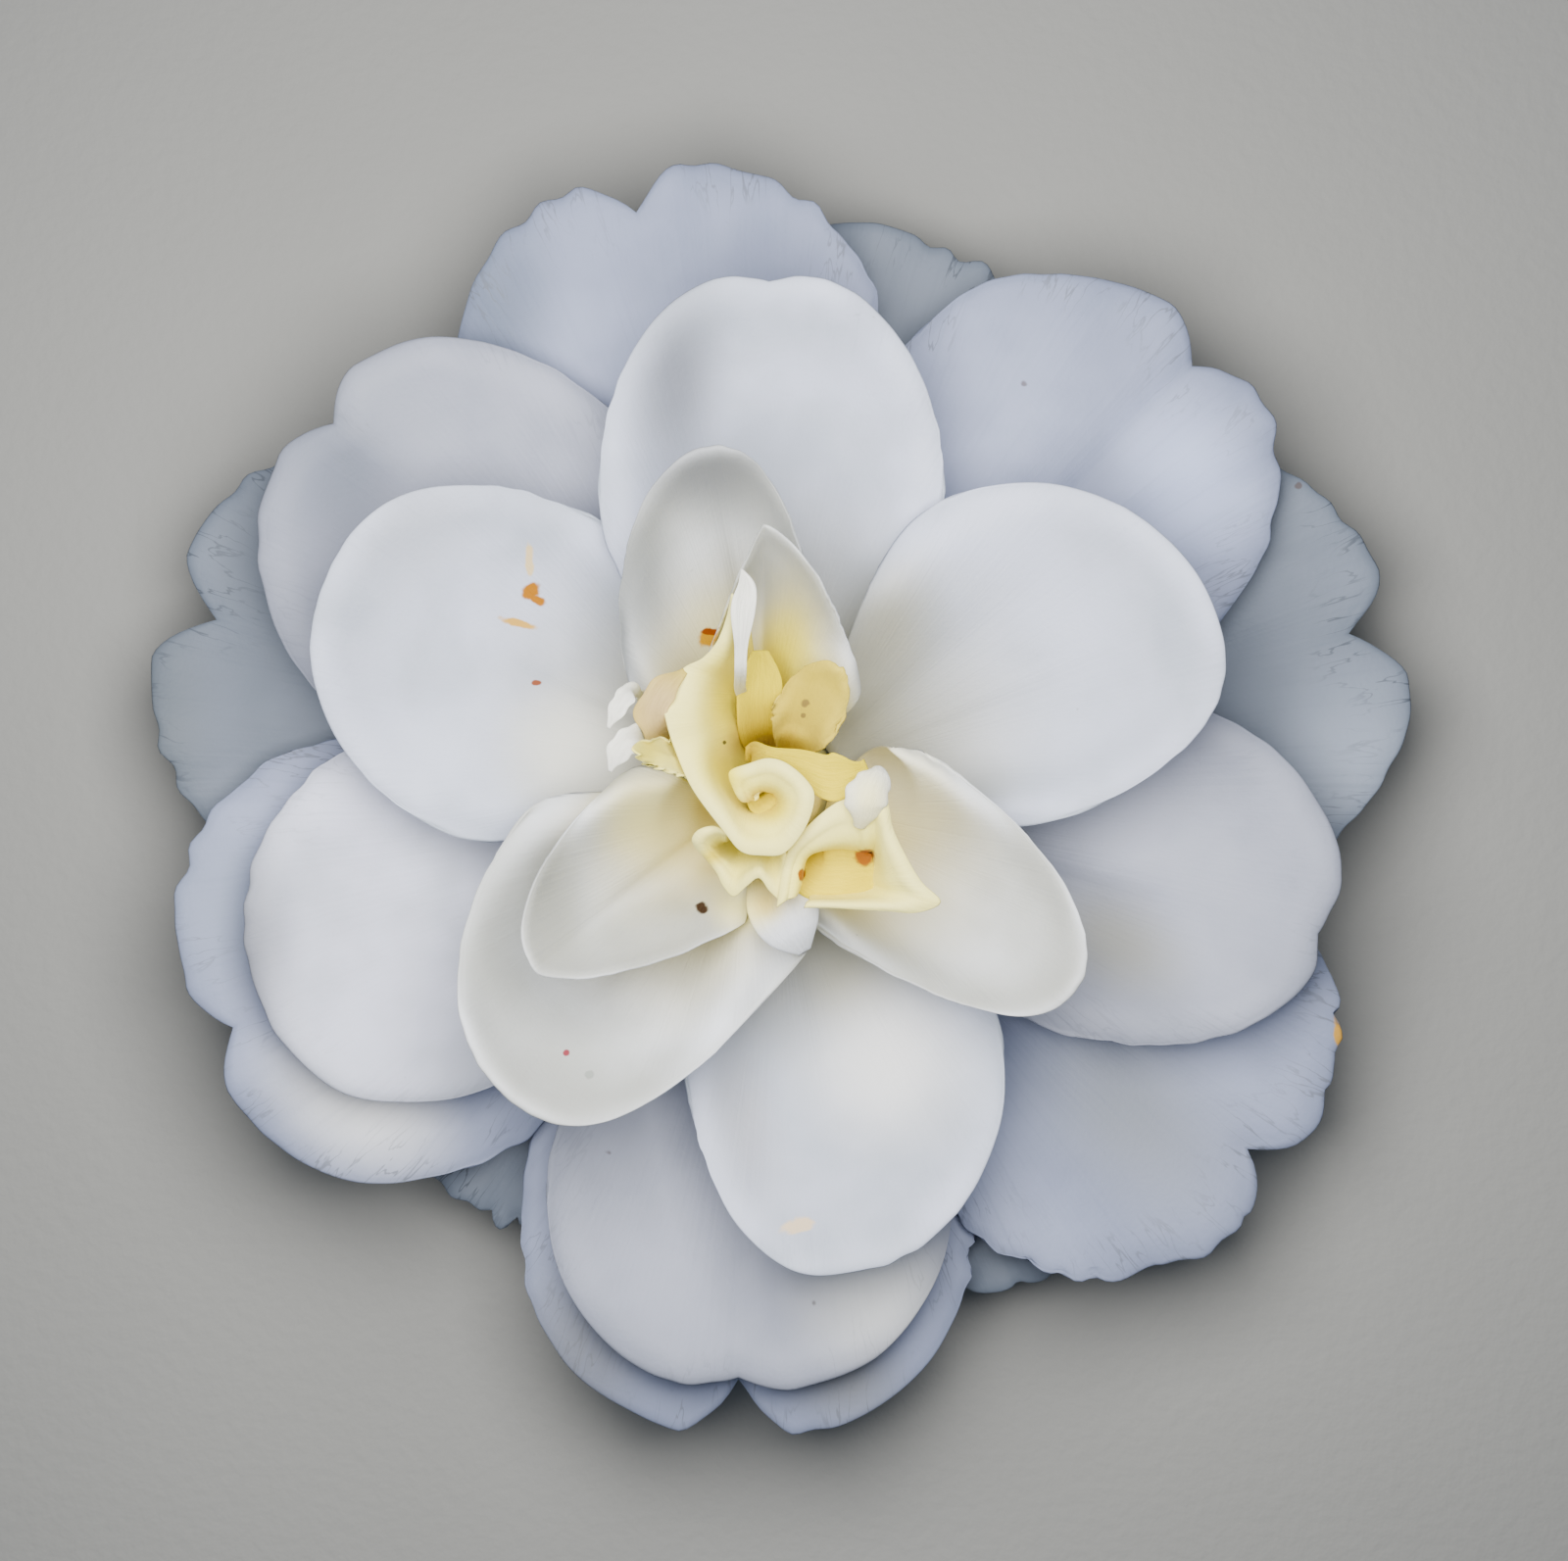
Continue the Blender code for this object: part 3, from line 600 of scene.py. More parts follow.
def petal_finish(name, body, root, shade, veins, steep_shading=0.5, far=0.0, root_reach=0.45, painted_light_and_tint_washes=(),
                 marks=(), vein=VEIN_COLOUR):
    """Soft white petal flesh: a tinted root, partly cream and partly painted shade towards the
    throat, a mottle, painted shade that greys it where it stands steep and where it lies far out
    from the middle, greyer in its thin margin, with short irregular veins that fan out to the margin
    and a few brown specks. Washes are broad soft patches of painted light, painted shade and tint,
    and marks are stains, each a place, half sizes, a turn and a colour, and they show on the upper
    face alone."""
    finish = Finish(name, Roughness=0.52, Specular_IOR_Level=0.2, Sheen_Weight=0.03,
                    Sheen_Roughness=0.4)
    sheet = finish.node("ShaderNodeUVMap", {"uv_map": "sheet"}, {}).outputs[0]
    out, edge, over = finish.read("out"), finish.read("edge"), finish.read("over")
    cloud = finish.noise(finish.place, CLOUD_SCALE, 3.0)
    colour = finish.blend(finish.between(cloud, 0.35, 0.7) * 0.6, body, shade)
    # Painted shade: greyer where the sheet stands steep, by the share given for steep walls, for the
    # light that falls less on them.
    stands = finish.between(finish.read("steep") + cloud * 0.1 - 0.05, 0.02, 0.55)
    colour = finish.blend(stands * steep_shading, colour, shade)
    flat = finish.node("ShaderNodeVectorMath", {"operation": "MULTIPLY"},
                       {0: finish.place, 1: (1.0, 1.0, 0.0)}).outputs[0]
    radius = Dial(finish, finish.node("ShaderNodeVectorMath", {"operation": "LENGTH"},
                                      {0: flat}).outputs[1])
    # Painted shade: greyer the further out from the middle, for the light that falls off over the
    # outer rows.
    colour = finish.blend(finish.between(radius, FAR_SHADE_FROM, FAR_SHADE_TO) * far, colour, shade)
    # The root tint: yellow or cream, and on the third and inner rows also darker, painted shade
    # towards the throat.
    colour = finish.blend(finish.between(out + cloud * 0.25, root_reach + 0.12, 0.12), colour, root)
    colour = finish.blend(finish.between(edge, 0.14, 0.0) * (0.25 + 0.5 * veins), colour, shade)
    # Washes: painted light and painted shade in soft patches, and patches of tint.
    for painted_light_and_tint_wash in painted_light_and_tint_washes:
        spread = finish.between(finish.away(*painted_light_and_tint_wash[:3]) + cloud * 0.3, 1.2, 0.2)
        colour = finish.blend(spread * over * 0.85, colour, painted_light_and_tint_wash[3])
    fan = finish.noise(finish.stretch(sheet, (34.0, 7.0, 1.0)), 1.0, 3.0, 0.35)
    line = finish.between(abs(fan - 0.5), 0.022, 0.004)
    patch = finish.between(finish.noise(finish.place, PATCH_SCALE, 2.0), 0.42, 0.62)
    hem = finish.between(edge, 0.75, 0.08)
    colour = finish.blend(line * patch * hem * veins, colour, vein)
    long_fan = finish.noise(finish.stretch(sheet, (60.0, 2.2, 1.0), (3.1, 0.7, 0)), 1.0, 2.0, 0.2)
    colour = finish.blend(finish.between(long_fan, 0.5, 0.75) * 0.22 * veins, colour, shade)
    dust = finish.noise(finish.place, DUST_SCALE, 1.0)
    colour = finish.blend(finish.between(dust, 0.80, 0.84) * 0.7, colour, SPECK_COLOUR)
    crumb = finish.noise(finish.place, CRUMB_SCALE, 3.0) * 1.4 - 0.7
    for mark in marks:
        stain = finish.between(finish.away(*mark[:3]) + crumb, 1.25, 0.75)
        colour = finish.blend(stain * over, colour, mark[3])
    finish.feed("Base Color", colour)
    grain = finish.noise(finish.place, GRAIN_SCALE, 2.0)
    finish.relief(0.5 * grain + 0.9 * long_fan + 0.5 * fan * hem, PETAL_RELIEF)
    return finish


# Painted shade: the guards' flesh is painted the darkest and bluest of all the rows, for the shade
# on the outermost petals; its washes paint more shade at the left and painted light at the right.
guard_white = petal_finish(
    "guard_white", body=(0.185, 0.215, 0.275), root=(0.215, 0.230, 0.250),
    shade=(0.125, 0.150, 0.195), veins=0.8, steep_shading=0.3, far=0.4, vein=(0.060, 0.070, 0.090),
    painted_light_and_tint_washes=[((-48, 5), (6, 14), 0, (0.115, 0.135, 0.160)),
            ((46, 3), (8, 9), 0, (0.25, 0.29, 0.37))])
GUARDS = {
    "guard_petal_1": dict(azimuth=15, reach=51.6, ccw=17.5, cw=17.0, tip=10.5, notch=3.8),
    "guard_petal_2": dict(azimuth=78, reach=45.8, ccw=15.0, cw=15.0, tip=8.6),
    "guard_petal_3": dict(azimuth=163, reach=50.3, ccw=17.5, cw=17.0, tip=10.0, notch=4.4),
    "guard_petal_4": dict(azimuth=232, reach=41.3, ccw=12.0, cw=12.0, tip=8.0),
    "guard_petal_5": dict(azimuth=300, reach=44.8, ccw=13.0, cw=13.0, tip=8.2),
}
TORN = {"guard_petal_4": 1.3, "guard_petal_5": 0.9}
for name, form in GUARDS.items():
    make_petal(name, dict(row="guard", **form), guard_white, ripple=0.3, ruffle=0.35, hollow=0.5,
               jag=TORN.get(name, 0.0), lip=(2.0, 0.3))


# ---- Second row --------------------------------------------------------------------------
# Five large petals that lie on the guards. They are a little thicker, shallow cups with a notched
# and finely rippled margin; one has its margin nipped into teeth. Their flesh is painted shade:
# lighter than the guards' and darker and bluer than the inner rows'.

# Painted shade and painted light: the second row's flesh, with washes of painted shade in its darker
# hollows and lower petals, and of painted light on the petal at the top right and over a cast
# shadow.
second_white = petal_finish(
    "second_white", body=(0.34, 0.38, 0.54), root=(0.38, 0.39, 0.43),
    shade=(0.20, 0.23, 0.34), veins=0.6, steep_shading=0.5, far=0.6,
    painted_light_and_tint_washes=[((-21, 38), (6, 10), 0, (0.13, 0.16, 0.23)),
            ((-32, -24), (10, 7), -30, (0.87, 0.87, 0.87)),
            ((-38, -12), (6, 8), 0, (0.20, 0.22, 0.30)),
            ((6, -46), (6, 5), 0, (0.20, 0.21, 0.23)),
            ((-42, -9), (7, 9), 0, (0.25, 0.29, 0.40)),
            ((28, -25), (14, 9), -50, (0.23, 0.25, 0.29)),
            ((-15, -44), (6, 9), 30, (0.16, 0.17, 0.20)),
            ((33, 24), (7, 9), 30, (0.48, 0.55, 0.81))],
    marks=[((44.6, -19.2), (0.35, 1.2), 10, (0.55, 0.30, 0.05))])
SECONDS = {
    "second_petal_1": dict(azimuth=267, reach=51.0, ccw=18.0, cw=18.0, tip=13.5, notch=4.2),
    "second_petal_2": dict(azimuth=323, reach=51.0, ccw=18.2, cw=18.4, tip=12.5, notch=3.0),
    "second_petal_3": dict(azimuth=45, reach=49.5, ccw=17.3, cw=15.8, tip=14.5, notch=2.4,
                           crease=1.2),
    "second_petal_4": dict(azimuth=103, reach=49.8, ccw=17.2, cw=17.0, tip=14.0, notch=3.4),
    "second_petal_5": dict(azimuth=204, reach=48.6, ccw=17.8, cw=18.0, tip=15.5, notch=2.8),
}
NIPPED = {"second_petal_2": 0.8}
for name, form in SECONDS.items():
    make_petal(name, dict(row="second", **form), second_white, ripple=0.22, ruffle=0.35,
               hollow=0.45, jag=NIPPED.get(name, 0.0), lip=(2.5, 0.6))


# ---- Third row ---------------------------------------------------------------------------
# Four broad cupped petals, of the same flesh, with smoother margins. Their flesh is painted lighter
# than the second row's as painted light, and one of them is painted lighter still.

# Painted shade: the third row's flesh, with washes of painted shade and a painted-light wash over
# the shadow that the inner petals cast.
third_white = petal_finish(
    "third_white", body=(0.36, 0.38, 0.47), root=(0.29, 0.29, 0.25),
    shade=(0.24, 0.26, 0.33), veins=0.2, steep_shading=0.7, far=0.5,
    painted_light_and_tint_washes=[((-33, 25), (6, 9), -30, (0.14, 0.16, 0.21)),
            ((8, -39), (8, 7), 0, (0.78, 0.79, 0.79)),
            ((-30, 30), (5, 9), 60, (0.31, 0.33, 0.40)),
            ((27, -12), (8, 5), -30, (0.31, 0.31, 0.28))])
# Painted light: a lighter copy of the third row's flesh for the one petal lit more brightly, with a
# painted-shade wash at its left edge.
third_white_lit = petal_finish(
    "third_white_lit", body=(0.65, 0.67, 0.81), root=(0.47, 0.47, 0.41),
    shade=(0.40, 0.43, 0.50), veins=0.15, steep_shading=0.7, far=0.5,
    painted_light_and_tint_washes=[((-40, -12), (5, 11), 0, (0.22, 0.23, 0.27))])
THIRDS = {
    "third_petal_1": dict(azimuth=267, reach=46.8, ccw=16.0, cw=15.7, tip=19.0, rim=2.5, notch=1.2,
                          crease=0.6),
    "third_petal_2": dict(azimuth=347, reach=45.0, ccw=14.0, cw=13.4, tip=19.0, rim=3.0, notch=1.0,
                          notch_at=-0.1, shoulder=0.55),
    "third_petal_3": dict(azimuth=140, reach=46.3, ccw=17.2, cw=14.8, tip=19.0, rim=2.5, notch=2.4,
                          shoulder=0.55),
    "third_petal_4": dict(azimuth=203, reach=42.5, ccw=13.0, cw=15.6, tip=20.0, rim=3.0,
                          shoulder=0.58),
}
LIT_THIRDS = {"third_petal_4": third_white_lit}
for name, form in THIRDS.items():
    make_petal(name, dict(row="third", bow=1.5, **form), LIT_THIRDS.get(name, third_white),
               ripple=0.09, ruffle=0.2, hollow=0.4, lip=(3.0, 1.2))


# ---- Inner row ---------------------------------------------------------------------------
# Four deep cups with even rounded margins, painted lighter than the outer rows as painted light.
# Old rain marks have left small brown stains on two of them.

RUST = (0.38, 0.14, 0.0)
# Painted shade and painted light: the inner flesh, its root painted darker towards the throat, with
# washes of painted shade on the petals' shaded sides and of painted light over shadowed roots.
inner_white = petal_finish(
    "inner_white", body=(0.59, 0.63, 0.78), root=(0.36, 0.35, 0.26),
    shade=(0.36, 0.40, 0.47), veins=0.06, steep_shading=0.8, root_reach=0.7,
    painted_light_and_tint_washes=[((-7, 31), (5, 10), -10, (0.17, 0.18, 0.21)),
            ((-2, -25), (4, 9), 15, (0.40, 0.41, 0.46)),
            ((6, -15), (5, 5), 0, (0.34, 0.33, 0.25)),
            ((9, -21), (9, 9), 0, (0.80, 0.80, 0.80)),
            ((0.5, -10), (3.5, 3), 0, (0.75, 0.71, 0.47)),
            ((-15, 3), (7, 7), 0, (0.80, 0.80, 0.74)),
            ((9, 12), (5, 8), -20, (0.39, 0.38, 0.30)),
            ((-27, 20), (8, 5), 40, (0.48, 0.51, 0.60))],
    marks=[((-18.3, 15.3), (0.75, 0.6), 0, RUST),
           ((-17.9, 14.6), (0.6, 0.35), -20, RUST),
           ((-18.4, 17.6), (0.3, 1.3), 0, (0.72, 0.55, 0.30)),
           ((-19.4, 12.8), (1.3, 0.3), -15, (0.60, 0.34, 0.06)),
           ((-18.0, 8.2), (0.35, 0.2), 0, (0.25, 0.07, 0.03)),
           ((2.2, -33.0), (1.2, 0.5), 10, (0.76, 0.60, 0.42))])
INNERS = {
    "inner_petal_1": dict(azimuth=153, reach=37.0, ccw=14.3, cw=12.4, tip=28.0, rim=5.5),
    "inner_petal_2": dict(azimuth=90, reach=39.2, ccw=13.0, cw=13.5, tip=27.0, rim=5.0, notch=0.8),
    "inner_petal_3": dict(azimuth=22, reach=36.2, ccw=15.5, cw=10.6, tip=28.0, rim=5.5),
    "inner_petal_4": dict(azimuth=280, reach=37.0, ccw=14.3, cw=10.2, tip=28.0, rim=5.5),
}
for name, form in INNERS.items():
    make_petal(name, dict(row="inner", bow=1.6, shoulder=0.5, **form), inner_white, ripple=0.05,
               ruffle=0.15, hollow=0.35, lip=(3.6, 1.3))


# ---- Heart -------------------------------------------------------------------------------
# Three upright pointed petals and two narrow ones inside them close the middle. They are the
# same flesh, creamy towards the yellow throat, with thin smooth edges.

# Painted shade and painted light: yellow washes tint the throat, grey washes paint shade on the
# hooded top and the steep left walls, and a pale wash paints light on the right petal's top.
heart_cream = petal_finish(
    "heart_cream", body=(0.73, 0.76, 0.83), root=(0.76, 0.63, 0.18),
    shade=(0.45, 0.46, 0.43), veins=0.04, steep_shading=0.75, root_reach=0.75,
    painted_light_and_tint_washes=[((-16, -8), (3, 7), 10, (0.36, 0.37, 0.35)),
            ((-9, -2), (5, 6), 30, (0.92, 0.83, 0.36)),
            ((-2, -9), (3.5, 2.5), 0, (0.90, 0.80, 0.26)),
            ((-0.2, -8.6), (1.9, 1.7), 0, (0.60, 0.47, 0.12)),
            ((-4, 12), (4, 5), 0, (0.76, 0.70, 0.38)),
            ((2.2, 10), (3.2, 8), 8, (0.67, 0.58, 0.09)),
            ((0.6, 9.5), (3.0, 5.0), 0, (0.76, 0.64, 0.0)),
            ((4.6, 6.0), (3, 5), 0, (0.72, 0.60, 0.08)),
            ((-10.0, 15), (4, 11), -5, (0.190, 0.200, 0.195)),
            ((-4.5, 23.5), (8, 4.5), 0, (0.210, 0.220, 0.235)),
            ((10.0, 2.0), (4.5, 6.5), 30, (0.93, 0.91, 0.74))],
    marks=[((-5.1, -9.1), (0.5, 0.42), 0, (0.03, 0.01, 0.005)),
           ((-15.2, -19.8), (0.25, 0.25), 0, (0.30, 0.05, 0.07)),
           ((-13.4, -21.4), (0.3, 0.3), 0, (0.36, 0.38, 0.36)),
           ((-4.6, 11.5), (0.75, 0.7), 0, (0.56, 0.27, 0.0)),
           ((-4.5, 12.0), (0.65, 0.22), 0, (0.25, 0.05, 0.0))])
HEARTS = {
    "heart_petal_1": dict(row="heart", azimuth=230, reach=30.6, ccw=10.8, cw=13.8, tip=36.0,
                          bow=1.7, rim=9.0, shoulder=0.35, incurve=0.06, hips=(0.8, 0.45),
                          stand=0.3),
    "heart_petal_2": dict(row="heart", azimuth=327, reach=28.2, ccw=9.8, cw=7.6, tip=34.0, bow=1.7,
                          rim=9.0, shoulder=0.22, incurve=0.08, hips=(0.6, 0.45), stand=0.3),
    "heart_petal_3": dict(row="heart", azimuth=100, reach=26.2, ccw=9.6, cw=8.0, tip=35.0, bow=1.6,
                          rim=9.0, shoulder=0.3, incurve=0.05, hips=(1.0, 0.5), stand=0.3),
    "core_petal_1": dict(row="core", azimuth=216, reach=21.8, ccw=7.8, cw=7.6, tip=35.0, bow=1.6,
                         rim=9.0, shoulder=0.2, hips=(1.0, 0.7), lean=8, stand=0.3),
    "core_petal_2": dict(row="core", azimuth=91, reach=19.4, ccw=5.4, cw=7.0, tip=37.0, bow=1.3,
                         rim=9.0, shoulder=0.2, closing=1.5, hips=(0.7, 1.0), stand=0.4),
}
# What the sheets have over the frame's plain forms: trimmed sides, a barbed corner, folds
HEART_SHAPES = {
    "heart_petal_1": dict(trim=dict(hips=(0.8, 1.3)), barb=5.5, lip=(4.0, 2.4)),
    "heart_petal_2": dict(trim=dict(hips=(0.6, 0.25), ccw=9.6), lip=(4.0, 2.6)),
    "heart_petal_3": dict(trim=dict(cw=6.2), lip=(3.2, 1.8)),
    "core_petal_1": dict(trim=dict(ccw=6.8, closing=(2.1, 1.35)), lip=(1.6, 0.8),
                         folds=[((-11.5, -12.0), (-8.0, -10.5), 2.0, 2.0)]),
    "core_petal_2": dict(trim=dict(closing=(1.5, 1.0)), lip=(1.4, 0.8)),
}
for name, form in HEARTS.items():
    make_petal(name, form, heart_cream, ripple=0.05, ruffle=0.12, hollow=0.25,
               **HEART_SHAPES[name])


# ---- Petaloids ---------------------------------------------------------------------------
# Stamens that have turned into little cream petals: short blades, a spear and a ribbon, small
# torn lobes and tongues between them, and three that have rolled into a funnel, a curl and a hook.
# They stand on the boss's dome round the yellow throat.

FUNNEL_STAINS = [((7.1, -5.1), (0.8, 0.65), 20, (0.28, 0.08, 0.0)),
                 ((2.5, -6.4), (0.3, 0.4), 0, (0.30, 0.09, 0.0))]
# Yellow and gold washes tint the throat and the funnel; the two darkest, in the throat and in the
# curl's hole, are gold darkened with painted shade.
petaloid_cream = petal_finish(
    "petaloid_cream", body=(0.92, 0.83, 0.22), root=(0.90, 0.78, 0.04),
    shade=(0.92, 0.87, 0.38), veins=0.03, steep_shading=0.15, root_reach=0.86,
    painted_light_and_tint_washes=[((-3.2, 6.5), (2.6, 5.2), 0, (0.84, 0.70, 0.0)),
            ((-3.2, 1.2), (1.9, 3.2), 30, (0.88, 0.74, 0.0)),
            ((-1.6, 4.0), (1.9, 2.4), 0, (0.50, 0.32, 0.0)),
            ((0.3, -1.4), (2.2, 1.7), 0, (0.76, 0.60, 0.0)),
            ((-1.1, -0.9), (1.5, 1.1), 0, (0.50, 0.34, 0.0)),
            ((4.8, -6.2), (3.4, 2.2), 0, (0.92, 0.82, 0.08)),
            ((-4.2, -5.0), (1.3, 1.1), 0, (0.60, 0.46, 0.0)),
            ((-8.8, 2.8), (2.2, 2.0), 0, (0.88, 0.76, 0.08))],
    marks=FUNNEL_STAINS + [((-3.3, 3.5), (0.15, 0.15), 0, (0.10, 0.10, 0.02))])
petaloid_yellow = petal_finish(
    "petaloid_yellow", body=(0.72, 0.57, 0.0), root=(0.58, 0.40, 0.0),
    shade=(0.66, 0.52, 0.0), veins=0.03, steep_shading=0.2, root_reach=0.5,
    marks=FUNNEL_STAINS)
# Painted shade: throat gold whose root is painted near brown-black, for the shade deep in the
# throat.
petaloid_gold = petal_finish(
    "petaloid_gold", body=(0.74, 0.60, 0.0), root=(0.26, 0.14, 0.0),
    shade=(0.70, 0.56, 0.0), veins=0.03, steep_shading=0.1, root_reach=0.75)
petaloid_tan = petal_finish(
    "petaloid_tan", body=(0.58, 0.44, 0.03), root=(0.54, 0.38, 0.0),
    shade=(0.62, 0.50, 0.08), veins=0.03, steep_shading=0.2, root_reach=0.4,
    painted_light_and_tint_washes=[((-8.0, 6.0), (4, 5), 0, (0.56, 0.40, 0.20))],
    marks=[((2.8, 6.4), (0.3, 0.3), 20, (0.25, 0.18, 0.05)),
           ((2.6, 5.5), (0.22, 0.2), 20, (0.25, 0.18, 0.05))])
torn_white = petal_finish(
    "torn_white", body=(0.93, 0.93, 0.86), root=(0.90, 0.84, 0.50),
    shade=(0.92, 0.92, 0.84), veins=0.03, steep_shading=0.1, root_reach=0.4,
    painted_light_and_tint_washes=[((7.4, -0.6), (2.2, 3.2), 0, (0.95, 0.88, 0.42))])
BLADES = {
    "petaloid_1": dict(row="petaloid", azimuth=62, reach=10.6, ccw=3.0, cw=3.4, tip=31.0, bow=0.8,
                       rim=3.0, shoulder=0.4),
    "petaloid_4": dict(row="petaloid", azimuth=162, reach=12.0, ccw=2.2, cw=2.3, tip=34.0, bow=1.4,
                       rim=2.0, shoulder=0.7),
}
BLADE_SHAPES = {
    "petaloid_1": dict(finish=petaloid_tan, trim=dict(ccw=2.7, cw=2.6, tip=28.5), lip=(1.2, 0.9)),
    "petaloid_4": dict(finish=petaloid_cream, trim=dict(reach=10.4, ccw=1.2, cw=1.3), jag=0.7,
                       lip=(1.0, 0.3)),
}
for name, form in BLADES.items():
    make_petal(name, form, slot="petaloid_cream", ripple=0.1, ruffle=0.1, hollow=0.1,
               rows=40, columns=40, cells=(6, 6), keep=False, **BLADE_SHAPES[name])


STRAP_ROWS, STRAP_COLUMNS = 70, 14
STRAP_THICKNESS, STRAP_ROUNDING = 0.3, 0.4


def strap(name, path, half_widths, finish, cup=0.0, ragged=0.0):
    """A narrow strip along a smooth path through the places given, its half widths smooth between
    those given, turned to face upwards, with its sides raised by cup of the half width."""
    at = np.linspace(0, 1, STRAP_ROWS + 1)
    centre = cubic_weights(at, len(path)) @ np.array(path, float)
    half = np.maximum(cubic_weights(at, len(half_widths)) @ np.array(half_widths, float), 0.02)
    along = np.gradient(centre, axis=0)
    across = np.cross(np.array([0.0, 0.0, 1.0]), along)
    across /= np.linalg.norm(across, axis=-1, keepdims=True)
    front = np.cross(along, across)
    front /= np.linalg.norm(front, axis=-1, keepdims=True)
    v = np.sin(np.linspace(-1, 1, STRAP_COLUMNS + 1) * math.pi / 2)[None, :, None]
    frayed = 1 + ragged * np.stack([waves(at * 3, 31 + k, 2, 9) for k in (0, 1)], -1)
    wide = half[:, None, None] * np.where(v < 0, frayed[:, :1, None], frayed[:, 1:, None])
    middle = centre[:, None] + across[:, None] * v * wide + front[:, None] * cup * v**2 * wide
    out = at[:, None] + 0 * v[..., 0]
    sheet = np.stack([v[..., 0] + 0 * out, out], -1)
    piece = add_sheet(name, middle, finish, out, sheet, STRAP_THICKNESS, STRAP_ROUNDING)
    return piece


spear = strap("spear_sheet", [(-0.6, 3.0, 18), (-1.5, 6.4, 21), (-2.1, 7.4, 28), (-2.05, 8.6, 33),
                              (-2.0, 10.6, 34.2), (-1.85, 13.1, 35.2), (-1.6, 14.8, 35.8),
                              (-1.95, 16.1, 36.2)],
              [0.4, 0.5, 0.45, 0.45, 0.5, 0.9, 0.7, 0.05], torn_white, cup=0.2)
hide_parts("petaloid_3")
ribbon = strap("ribbon_sheet", [(0.2, 2.0, 18), (-1.2, 2.6, 27), (-0.2, 2.5, 31.2),
                                (1.8, 1.9, 31.6), (4.2, 1.0, 31.8), (6.0, 1.2, 32.2),
                                (7.3, 1.7, 32.6)],
               [0.6, 0.7, 0.8, 0.9, 1.7, 1.25, 0.8], petaloid_yellow, cup=0.15, ragged=0.2)
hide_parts("petaloid_2")
# The throat's tongue, gold painted dark at its root as painted shade deep in the throat.
strap("throat_tongue", [(-0.3, 3.0, 19), (-0.6, 4.2, 24), (-0.7, 6.2, 26.4), (-0.6, 8.4, 27.6),
                        (-0.6, 10.4, 28.4)],
      [0.9, 1.6, 1.7, 1.6, 0.6], petaloid_gold, cup=0.25)
strap("funnel_tongue", [(1.8, -3.0, 21), (2.6, -5.0, 26), (3.9, -6.2, 28.0), (6.0, -6.2, 28.8),
                        (7.9, -6.1, 29.8)],
      [1.0, 1.8, 2.2, 2.1, 1.3], petaloid_yellow, cup=0.25)
strap("curl_tongue", [(-0.5, -0.2, 24), (-0.4, -0.4, 28.4), (-0.1, -0.9, 29.6), (0.5, -1.6, 30.2)],
      [0.6, 1.2, 1.4, 0.9], petaloid_yellow, cup=0.2)
strap("root_fold", [(0.6, -4.5, 22), (0.8, -6.8, 26.5), (1.1, -8.8, 28.2), (1.8, -10.6, 28.2),
                    (2.7, -12.2, 27.0)],
      [1.2, 2.3, 2.7, 2.1, 0.5], heart_cream, cup=0.1)
strap("tan_lobe", [(-7.0, 3.4, 26), (-8.2, 4.4, 30.2), (-8.6, 5.6, 31.3), (-7.8, 7.4, 31.6),
                   (-6.2, 8.8, 31.2)],
      [0.7, 1.0, 1.2, 1.0, 0.3], petaloid_tan, cup=0.15, ragged=0.15)
strap("knob_lobe", [(6.7, -2.8, 33.2), (6.9, -2.0, 34.2), (7.1, -1.0, 34.9), (7.6, 0.3, 34.9),
                    (8.0, 1.2, 34.2), (8.1, 1.7, 33.2)],
      [0.5, 1.2, 1.6, 1.4, 1.15, 0.4], torn_white, cup=-0.5, ragged=0.08)
strap("side_lobe_1", [(-9.6, 7.0, 29), (-10.3, 7.3, 31.5), (-11.0, 6.2, 32.4), (-11.8, 4.5, 32.6)],
      [0.5, 0.6, 0.7, 0.15], torn_white, cup=0.2, ragged=0.2)
strap("side_lobe_2", [(-8.8, 4.0, 28), (-9.9, 3.9, 31.5), (-10.9, 3.0, 32.4), (-11.7, 1.3, 32.2)],
      [0.6, 0.9, 0.95, 0.15], torn_white, cup=0.2, ragged=0.2)


ROLLED_ROWS = 48
RING_SHARE, SHOULDER_SHARE = 0.45, 0.45
CROWN, SHOULDER_DROP = 0.3, 0.16


